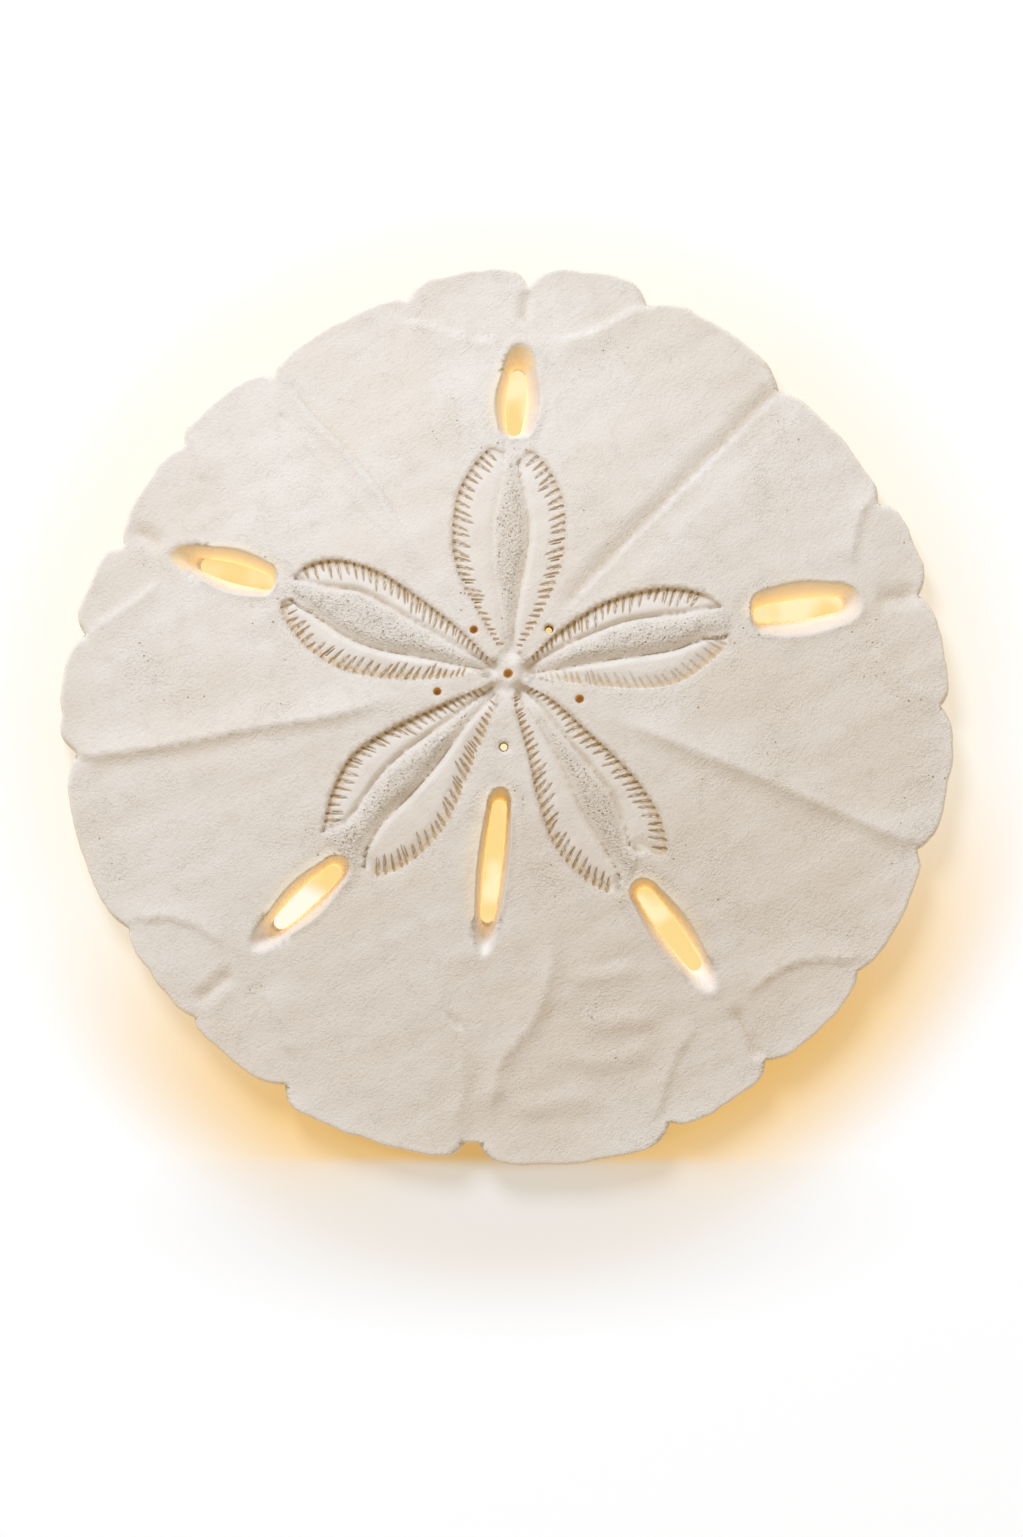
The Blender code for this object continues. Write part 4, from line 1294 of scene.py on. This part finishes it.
@dataclass(frozen=True)
class FloorFinish:
    """A pale floor with a warm light under the sand dollar, a painted warm glow round it and
    painted shadows below it.
    """

    pale: Colour = (0.4, 0.4, 0.4)
    warm: Colour = (0.42, 0.28, 0.1)
    dark: Colour = (0.02, 0.015, 0.01)
    rest: Colour = (0.65, 0.67, 0.69)
    glow: Colour = (0.64, 0.565, 0.45)
    amber: Colour = (0.56, 0.37, 0.135)
    shade: Colour = (0.49, 0.465, 0.43)
    contact_shadow: Colour = (0.34, 0.22, 0.08)
    lamp: Colour = (0.95, 0.70, 0.28)
    bright_lamp: Colour = (1.0, 0.87, 0.52)
    white_lamp: Colour = (1.0, 0.95, 0.80)
    under_reach: Span = (54.0, 57.0)
    halo_reach: Span = (57.0, 78.0)
    amber_reach: Span = (58.0, 80.0)
    amber_fall: Span = (14.0, 54.0)
    amber_lean: float = 0.18
    shade_size: Span = (58.0, 19.0)
    shade_middle: float = -67.0
    shade_reach: Span = (0.1, 1.05)
    shade_fall: Span = (59.5, 61.5)
    contact_reach: Span = (59.5, 62.5)
    contact_fall: Span = (54.0, 60.0)
    contact_share: float = 0.6
    flicker_size: float = 7.0
    flicker_range: Span = (0.42, 0.6)
    white_fall: Span = (35.0, 38.0)

    def material(self) -> bpy.types.Material:
        """Make the finish.

        Returns:
            The material.
        """
        graph = Graph("pale_floor")
        place = graph.place()
        reach = graph.node("ShaderNodeVectorMath", {"operation": "LENGTH"}, {0: place}, "Value")
        height = graph.node("ShaderNodeSeparateXYZ", {}, {0: place}, 1)
        width, depth = self.shade_size
        oval = graph.node("ShaderNodeVectorMath", {"operation": "MULTIPLY"},
                          {0: place, 1: (1 / width, 1 / depth, 0.0)})
        foot = graph.node("ShaderNodeVectorMath", {"operation": "DISTANCE"},
                          {0: oval, 1: (0.0, self.shade_middle / depth, 0.0)}, "Value")
        aside = graph.node("ShaderNodeSeparateXYZ", {}, {0: place}, 0)
        fall = height * -1.0
        under = 1 - reach.ramp(*self.under_reach)
        halo = 1 - reach.ramp(*self.halo_reach)
        low = (aside * self.amber_lean - height).ramp(*self.amber_fall)
        deep = (1 - reach.ramp(*self.amber_reach)) * low
        shaded = (1 - foot.ramp(*self.shade_reach)) * fall.ramp(*self.shade_fall)
        contact_shadow = (1 - reach.ramp(*self.contact_reach)) * fall.ramp(*self.contact_fall)
        flicker = graph.noise(place, self.flicker_size, 1.0)
        lamp = graph.mix(flicker.ramp(*self.flicker_range), self.lamp, self.bright_lamp)
        white = (aside * -0.5 - height).ramp(*self.white_fall)
        lamp = graph.mix(white, lamp, self.white_lamp)
        colour = graph.mix(halo, self.rest, self.glow)
        # The shade and the contact mark are painted shadows below the sand dollar, and the amber a
        # painted warm glow beside it.
        for share, coat in ((deep, self.amber), (shaded, self.shade),
                            (contact_shadow * self.contact_share, self.contact_shadow), (under, lamp)):
            colour = graph.mix(share, colour, coat)
        # painted pool of warm glow in the floor's colour beside the sand dollar
        lit = graph.mix(deep * (1 - shaded), self.pale, self.warm)
        graph.feed("Base Color", graph.mix(under, lit, self.dark))
        graph.feed("Roughness", 0.8)
        graph.feed("Emission Color", colour)
        graph.feed("Emission Strength", 1.0)
        return graph.material


def place_in_scene(name: str, data: Any) -> bpy.types.Object:
    """Make an object and link it to the scene.

    Args:
        name: The object's name.
        data: Its mesh, light or camera.

    Returns:
        The object.
    """
    obj = bpy.data.objects.new(name, data)
    bpy.context.scene.collection.objects.link(obj)
    return obj


@dataclass
class SandDollar:
    """The whole test: one piece from the petal face to the underside."""

    relief: PlateRelief
    finish: CalciteFinish
    strokes: Strokes = field(default_factory=Strokes)
    petal_spacing: float = 0.3
    field_spacing: float = 0.56
    under_spacing: float = 1.6
    slot_levels: tuple[float, ...] = (0.03, 0.1, 0.22, 0.4, 0.6, 0.82, 0.95, 1.04, 1.2, 1.45)
    top_insets: tuple[float, ...] = (0.02, 0.06, 0.12, 0.21, 0.32, 0.45, 0.8)
    under_insets: tuple[float, ...] = (0.12, 0.4, 0.9, 1.5, 2.0)
    under_levels: tuple[float, ...] = (0.1, 0.3, 0.6, 1.0)
    bore_rings: tuple[Span, ...] = ((0.82, 0.4), (0.55, 0.8), (0.25, 1.0))
    border_stain_and_shade: float = 0.35
    valley_stain_and_shade: float = 0.2
    foot_lines: tuple[Span, ...] = ((0.22, 0.5), (0.42, 0.3))
    pore_rims: tuple[Span, ...] = ((1.12, 0.0), (1.0, 0.04), (0.93, 0.2))
    pore_flares: tuple[float, ...] = (1.0, 1.3)
    pore_sides: int = 20
    pit_rings: tuple[Span, ...] = ((1.0, 0.0), (0.88, 0.3), (0.76, 0.75), (0.6, 1.0), (0.3, 1.05))
    pit_sides: int = 32
    pit_stain: float = 0.25
    groove_sides: tuple[tuple[float, float, float], ...] = (
        (-0.5, 0.0, 0.0), (0.5, 0.0, 0.0), (-0.25, -0.36, 0.1), (0.25, -0.36, 0.1))
    groove_bed: Span = (-0.45, 0.3)
    groove_angles: tuple[int, ...] = (90, 162, 18, 234, 306)
    trunk_span: Span = (3.2, 9.0)
    branch_turn: int = 17
    branch_start: float = 0.9
    branch_reach: float = 30.0
    branch_bow: float = 3.5
    field_crevice_shade: float = 0.4
    valley_crevice_shade: float = 0.42
    valley_clear: float = 1.5
    slot_clear: float = 1.3
    rim_glow: float = 0.45
    rim_reach: float = 1.8
    wall_glow: float = 0.95
    wall_level: float = 0.95
    lit_height: float = 1.1
    plain_grit: float = 0.16
    under_grit: float = 0.35
    leaf_grit: float = 0.04
    lens_grit: float = 0.95
    slot_grit: float = 0.75
    wall_grit: float = 0.05
    slot_grit_reach: float = 9.0
    crevice_shade_reach: int = 14
    crevice_shade_depth: float = 0.3
    crevice_shade_strength: float = 0.22
    light_from: Span = (-0.35, 0.94)
    mouth: Span = (0.3, 4.0)
    mouth_radius: float = 2.4
    mouth_depth: float = 1.9
    vent: Span = (-0.6, -7.0)
    vent_radius: float = 1.2
    vent_depth: float = 1.2

    def build(self) -> bpy.types.Object:
        """Build and dress the piece.

        Returns:
            The mesh object.
        """
        rng = np.random.default_rng(SEED)
        outline = self.relief.outline
        slots = [slot.ring(0.0, CAP_STEPS, HOLE_SIDE_STEPS) for slot in SLOTS.values()]
        holes = slots + [pore.ring(pore.taper, self.pore_sides) for pore in open_pores()]
        top = self.top_plan(holes, rng).triangulate([outline.ring] + holes)
        under = self.under_plan(holes, rng).triangulate([outline.ring] + holes)
        obj = self.join(top, under)
        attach(obj, BODY)
        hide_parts(NODE)
        return obj

    def start_plan(self, holes: Sequence[np.ndarray], insets: Sequence[float]) -> Plan:
        """Start a plan with the outline, the openings and the rings along the margin.

        Args:
            holes: The rings of the openings.
            insets: How far in from the outline each ring lies.

        Returns:
            The plan.
        """
        plan = Plan()
        for ring in [self.relief.outline.ring, *holes]:
            plan.add(ring, is_line=True, is_closed=True)
        for distance in insets:
            plan.add(self.relief.outline.inset(distance))
        return plan

    def top_plan(self, holes: Sequence[np.ndarray], rng: np.random.Generator) -> Plan:
        """Lay out the upper surface.

        Args:
            holes: The rings of the openings.
            rng: The source of its unevenness.

        Returns:
            The plan.
        """
        outline, plan = self.relief.outline, self.start_plan(holes, self.top_insets)
        for slot in SLOTS.values():
            for level in self.slot_levels:
                plan.add(slot.ring(level, CAP_STEPS, SIDE_STEPS))
        for pore in PORES.values():
            self.bore(plan, pore)
        cuts = 0
        for petal in PETALS.values():
            for side in petal.sides():
                border, valley = Line(side.outer, 0.4), Line(side.inner, 0.5)
                leaf = side.leaf()
                # Borders and valley lines are stained and darkened with painted shade.
                plan.add(border.points, stain_and_shade=self.border_stain_and_shade, is_line=True)
                plan.add(valley.points[1:-1], stain_and_shade=self.valley_stain_and_shade, is_line=True)
                cuts += self.strokes.cut(plan, side, petal.axis(self.relief.hub), rng)
                for offset, stain_and_shade in self.foot_lines:
                    foot = np.vstack([border.beside(offset), border.beside(-offset)])
                    plan.add(foot[lies_inside(foot, leaf)], stain_and_shade=stain_and_shade)
        log.info("strokes cut in the petals: %d", cuts)
        for fold in FOLDS.values():
            plan.add(Line(fold.knots, 0.6).points, is_line=True)
        hulls = [petal.hull() for petal in PETALS.values()]
        rims = [slot.ring(self.slot_levels[-1], CAP_STEPS, SIDE_STEPS) for slot in SLOTS.values()]
        margin = outline.inset(self.top_insets[-1] + 0.2)

        def is_petal(points: np.ndarray) -> np.ndarray:
            """Tell which points are in a petal."""
            return np.any([lies_inside(points, hull) for hull in hulls], axis=0)

        def is_field(points: np.ndarray) -> np.ndarray:
            """Tell which points are on the open plate."""
            in_rim = np.any([lies_inside(points, rim) for rim in rims], axis=0)
            return lies_inside(points, margin) & ~in_rim

        plan.scatter(self.petal_spacing, is_petal, rng)
        plan.scatter(self.field_spacing, is_field, rng)
        return plan

    def bore(self, plan: Plan, pore: Pore) -> None:
        """Add a pore's rim and bore to the plan of the upper surface.

        Args:
            plan: The plan that grows.
            pore: The pore.
        """
        for scale, sink in self.pore_rims:
            plan.add(pore.ring(scale, self.pore_sides), sink)
        if not pore.is_open:
            for scale, share in self.bore_rings:
                plan.add(pore.ring(scale, self.pore_sides), share * pore.depth)

    def under_plan(self, holes: Sequence[np.ndarray], rng: np.random.Generator) -> Plan:
        """Lay out the underside: mouth, vent and food grooves.

        Args:
            holes: The rings of the openings.
            rng: The source of its unevenness.

        Returns:
            The plan.
        """
        outline, plan = self.relief.outline, self.start_plan(holes, self.under_insets)
        for slot in SLOTS.values():
            for level in self.under_levels:
                flared = slot.flared(self.relief.slot_flare_under)
                plan.add(flared.ring(level, CAP_STEPS, CAP_STEPS))
        for pore in open_pores():
            for scale in self.pore_flares:
                plan.add(pore.ring(scale, self.pore_sides))
        for centre, radius, depth in ((self.mouth, self.mouth_radius, self.mouth_depth),
                                      (self.vent, self.vent_radius, self.vent_depth)):
            for scale, share in self.pit_rings:
                ring = Pore(centre, radius).ring(scale, self.pit_sides)
                plan.add(ring, -depth * share, self.pit_stain * share)
        for groove in self.grooves():
            for offset, sink, stain_and_shade in self.groove_sides:
                plan.add(groove.beside(offset), sink, stain_and_shade)
            plan.add(groove.points, *self.groove_bed, is_line=True)
        margin = outline.inset(self.under_insets[-1] + 0.5)
        plan.scatter(self.under_spacing, lambda points: lies_inside(points, margin), rng, 0.45)
        return plan

    def grooves(self) -> Iterator[Line]:
        """Yield the food grooves: five trunks that fork on the way out."""
        centre = np.array(self.mouth)
        start, reach = self.trunk_span
        for angle in self.groove_angles:
            heading = towards(angle)
            fork = centre + heading * reach
            yield Line([tuple(centre + heading * start), tuple(fork)], 0.8)
            for turn in (-self.branch_turn, self.branch_turn):
                branch = towards(angle + turn)
                end = centre + branch * self.branch_reach
                bow = (fork + end) / 2 + (branch - heading) * self.branch_bow
                yield Line([tuple(fork + branch * self.branch_start), tuple(bow), tuple(end)], 0.9)

    def join(self, top: tuple[np.ndarray, ...], under: tuple[np.ndarray, ...]) -> bpy.types.Object:
        """Join the upper surface and the underside in one closed mesh.

        Args:
            top: The upper surface's plan points, triangles, sinks, and stains with painted shade.
            under: The same of the underside.

        Returns:
            The dressed object.
        """
        top_points, top_faces, top_sinks, top_stains_and_shade = top
        under_points, under_faces, under_sinks, under_stains_and_shade = under
        heights = self.relief.top(top_points) - top_sinks
        low = self.relief.under(under_points) - under_sinks
        places = np.vstack([np.column_stack([top_points, heights]),
                            np.column_stack([under_points, low])])
        faces = np.vstack([top_faces, under_faces[:, ::-1] + len(top_points)])
        keys = np.round(places, 4)
        _, first, which = np.unique(keys, axis=0, return_index=True, return_inverse=True)
        which = which.reshape(-1)
        mesh = bpy.data.meshes.new(PIECE)
        mesh.from_pydata((places[first] * MM).tolist(), [], which[faces].tolist())
        stains_and_shade = np.concatenate([top_stains_and_shade, under_stains_and_shade])
        cavity = self.cavity(places, faces)
        plain = np.zeros(len(low))
        layers = {
            # Painted shade in hollows, from the cavity, joins the stains in this layer.
            "stain_and_shade": np.maximum(stains_and_shade, self.crevice_shade_strength * np.clip(cavity, 0.0, 1.0)),
            "cavity": cavity,
            "hollow": np.concatenate([self.hollow(top_points), plain]),
            "grit": np.concatenate([self.grit(top_points), plain + self.under_grit]),
            "glow": np.concatenate([self.glow(top_points), plain]),
            "edge": np.concatenate([self.edge(top_points), plain])}
        for name, values in layers.items():
            layer = mesh.attributes.new(name, "FLOAT", "POINT")
            layer.data.foreach_set("value", values[first].astype(np.float32))
        mesh.materials.append(self.finish.material())
        mesh.shade_smooth()
        mesh.validate()
        log.info("%s: %d triangles", PIECE, len(mesh.polygons))
        return place_in_scene(PIECE, mesh)

    def cavity(self, places: np.ndarray, faces: np.ndarray) -> np.ndarray:
        """Return how far each point lies below those around it, for painted shade in hollows and
        painted highlights on crests.

        Args:
            places: The points in millimetres.
            faces: The triangles between them.

        Returns:
            1 deep in a hollow, -1 on a sharp crest, 0 on plain ground.
        """
        pairs = np.vstack([faces[:, [0, 1]], faces[:, [1, 2]], faces[:, [2, 0]]])
        pairs = np.vstack([pairs, pairs[:, ::-1]])
        count = np.bincount(pairs[:, 0], minlength=len(places)).clip(1)
        around = places[:, 2]
        for _ in range(self.crevice_shade_reach):
            total = np.bincount(pairs[:, 0], around[pairs[:, 1]], len(places))
            around = 0.5 * around + 0.5 * total / count
        depth = np.clip((around - places[:, 2]) / self.crevice_shade_depth, -1.0, 1.0)
        level = np.min([slot.level(places[:, :2]) for slot in SLOTS.values()], axis=0)
        share = np.full(len(places), self.field_crevice_shade)
        for petal in PETALS.values():
            share = np.where(lies_inside(places[:, :2], petal.hull()), 1.0, share)
            for side in petal.sides():
                valley = Line(side.inner).near(places[:, :2], self.valley_clear)
                gap = valley.distance / self.valley_clear
                kept = self.valley_crevice_shade + (1 - self.valley_crevice_shade) * ease(gap)
                share = np.where(gap < 1, share * kept, share)
        return np.where(level < self.slot_clear, 0.0, depth * share)

    def glow(self, points: np.ndarray) -> np.ndarray:
        """Return how much painted warm glow the slots' upper rims and walls get, 0 to 1.

        Args:
            points: Plan points, one to a row.

        Returns:
            1 where the painted glow is full.
        """
        warmth = np.zeros(len(points))
        for slot in SLOTS.values():
            level = slot.level(points)
            gap = slot.flared(1.0).level(points)
            outer, _, heading, length = slot.axis()
            along = np.clip((points - outer) @ heading, 0.0, length)
            up = (points - outer - along[:, None] * heading) @ np.array(self.light_from)
            outside = self.rim_glow * ease(1 - (gap - 1.0) / self.rim_reach)
            wall = self.wall_glow * ease((1.1 - level) / 0.35)
            near = np.where(level > self.wall_level, outside, wall)
            warmth = np.maximum(warmth, near * ease(up / self.lit_height))
        return warmth

    def edge(self, points: np.ndarray) -> np.ndarray:
        """Return how close each point is to the outer edge, which a painted highlight lightens, 0
        to 1.
        """
        gap = self.relief.outline.line.near(points).distance
        return ease(1 - gap / 0.7)

    def hollow(self, points: np.ndarray) -> np.ndarray:
        """Return how warm the walls of the pores are at each point, 0 to 1.

        Args:
            points: Plan points, one to a row.

        Returns:
            1 on a blind pore's wall, less on an open one's.
        """
        warmth = np.zeros(len(points))
        for pore in PORES.values():
            share = 0.75 if pore.is_open else 1.0
            warmth = np.where(pore.gap(points) < pore.radius * 0.97, share, warmth)
        return warmth

    def grit(self, points: np.ndarray) -> np.ndarray:
        """Return how gritty each point of the upper surface is, 0 to 1.

        Args:
            points: Plan points, one to a row.

        Returns:
            1 where the grit is coarsest.
        """
        rough = self.plain_grit + 0.3 * np.clip(wander(points, 11.0, 3, 2.2), 0.0, 1.0)
        for petal in PETALS.values():
            lens = lies_inside(points, petal.lens())
            edge = np.minimum(*[Line(side.inner).near(points, 3.0).distance
                                for side in petal.sides()])
            rough = np.where(lens, np.maximum(rough, self.lens_grit * ease(edge / 1.2)), rough)
            leaves = np.any([lies_inside(points, side.leaf()) for side in petal.sides()], axis=0)
            rough = np.where(leaves & ~lens, self.leaf_grit, rough)
        for slot in SLOTS.values():
            gap = slot.flared(1.0).level(points)
            from_end = np.linalg.norm(points - np.array(slot.inner), axis=1)
            hubward = self.slot_grit * ease(1 - from_end / self.slot_grit_reach)
            rough = np.maximum(rough, hubward * ease(1 - np.abs(gap - 2.4) / 1.8))
            rough = np.where(slot.level(points) < self.wall_level, self.wall_grit, rough)
        return rough


@dataclass
class Studio:
    """The pale floor, the soft light and the camera that looks straight down."""

    floor_finish: FloorFinish
    width_px: float = 1023.0
    height_px: float = 1537.0
    middle_px: tuple[float, float] = (506.0, 716.0)
    mm_per_px: float = 0.135
    distance: float = 0.95
    object_level: float = 0.007
    sensor_width: float = 36.0
    clip_range: Span = (0.01, 50.0)
    floor_half: float = 3.0
    floor_drop: float = 0.0002
    key_from: tuple[float, float, float] = (-0.36, 0.86, 0.9)
    key_distance: float = 0.9
    key_size: float = 0.36
    key_power: float = 5.9
    key_colour: Colour = (0.78, 0.895, 1.08)
    lamp_glow: float = 6.0
    lamp_colour: Colour = (1.0, 0.56, 0.16)
    slot_lamp_level: float = 1.6
    slot_lamp_overlap: float = 1.4
    slot_lamp_share: float = 0.8
    pore_lamp_level: float = 9.0
    sky_strength: float = 0.535
    sky_colour: Colour = (1.0, 0.815, 0.59)

    def camera(self) -> None:
        """Place the camera straight above, in the photograph's frame."""
        across = (self.width_px / 2 - self.middle_px[0]) * self.mm_per_px * MM
        up = (self.middle_px[1] - self.height_px / 2) * self.mm_per_px * MM
        data = bpy.data.cameras.new("camera")
        data.sensor_fit = "AUTO"
        data.sensor_width = self.sensor_width
        data.lens = self.sensor_width * self.distance / (self.height_px * self.mm_per_px * MM)
        data.clip_start, data.clip_end = self.clip_range
        camera = place_in_scene("camera", data)
        camera.location = (across, up, self.object_level + self.distance)
        bpy.context.scene.camera = camera

    def lights(self) -> None:
        """Light the upper face softly from the upper left."""
        data = bpy.data.lights.new("soft_key", "AREA")
        data.shape = "DISK"
        data.size = self.key_size
        data.energy = self.key_power
        data.color = self.key_colour
        light = place_in_scene("soft_key", data)
        heading = Vector(self.key_from).normalized()
        light.location = heading * self.key_distance
        light.rotation_euler = (-heading).to_track_quat("-Z", "Y").to_euler()
        for name, slot in SLOTS.items():
            heading = Vector(slot.inner) - Vector(slot.outer)
            middle = (Vector(slot.outer) + Vector(slot.inner)) / 2
            self.lamp(f"{name}_slot_lamp", (*middle, self.slot_lamp_level), heading,
                      heading.length + self.slot_lamp_overlap * slot.half_width,
                      self.slot_lamp_share * slot.half_width)
        for name, pore in PORES.items():
            if pore.is_open:
                self.lamp(f"{name}_pore_lamp", (*pore.centre, self.pore_lamp_level),
                          Vector((1.0, 0.0)), pore.radius, pore.radius)

    def sky(self) -> None:
        """Fill the shadows with an even, warm sky."""
        world = bpy.data.worlds.new("soft_sky")
        world.use_nodes = True
        sky = world.node_tree.nodes["Background"]
        sky.inputs["Color"].default_value = (*self.sky_colour, 1.0)
        sky.inputs["Strength"].default_value = self.sky_strength
        bpy.context.scene.world = world
        bpy.context.scene.view_settings.view_transform = "Standard"

    def lamp(self, name: str, middle: tuple[float, float, float], heading: Vector,
             length: float, width: float) -> None:
        """Lay a small warm lamp in an opening, to light its walls.

        Args:
            name: The lamp's name.
            middle: Its place in millimetres.
            heading: The way that it runs.
            length: Its length in millimetres.
            width: Its width in millimetres.
        """
        data = bpy.data.lights.new(name, "AREA")
        data.shape = "RECTANGLE"
        data.size = length * MM
        data.size_y = width * MM
        data.energy = self.lamp_glow * math.pi * data.size * data.size_y
        data.color = self.lamp_colour
        lamp = place_in_scene(name, data)
        lamp.location = Vector(middle) * MM
        lamp.rotation_euler = (math.pi, 0.0, math.atan2(heading.y, heading.x))
        lamp.visible_camera = False

    def floor(self) -> None:
        """Lay the pale floor."""
        half = self.floor_half
        corners = [(-half, -half), (half, -half), (half, half), (-half, half)]
        mesh = bpy.data.meshes.new("floor")
        mesh.from_pydata([(x, y, -self.floor_drop) for x, y in corners], [], [(0, 1, 2, 3)])
        mesh.materials.append(self.floor_finish.material())
        floor = place_in_scene("floor", mesh)

    def build(self) -> None:
        """Build the floor, the lights, the sky and the camera."""
        self.floor()
        self.lights()
        self.sky()
        self.camera()


def main() -> None:
    """Build the sand dollar and its studio."""
    logging.basicConfig(level=logging.INFO, format="%(name)s: %(message)s")
    Studio(FloorFinish()).build()
    log.info("studio ready")
    piece = SandDollar(PlateRelief(Outline()), CalciteFinish()).build()


if __name__ == "__main__":
    main()
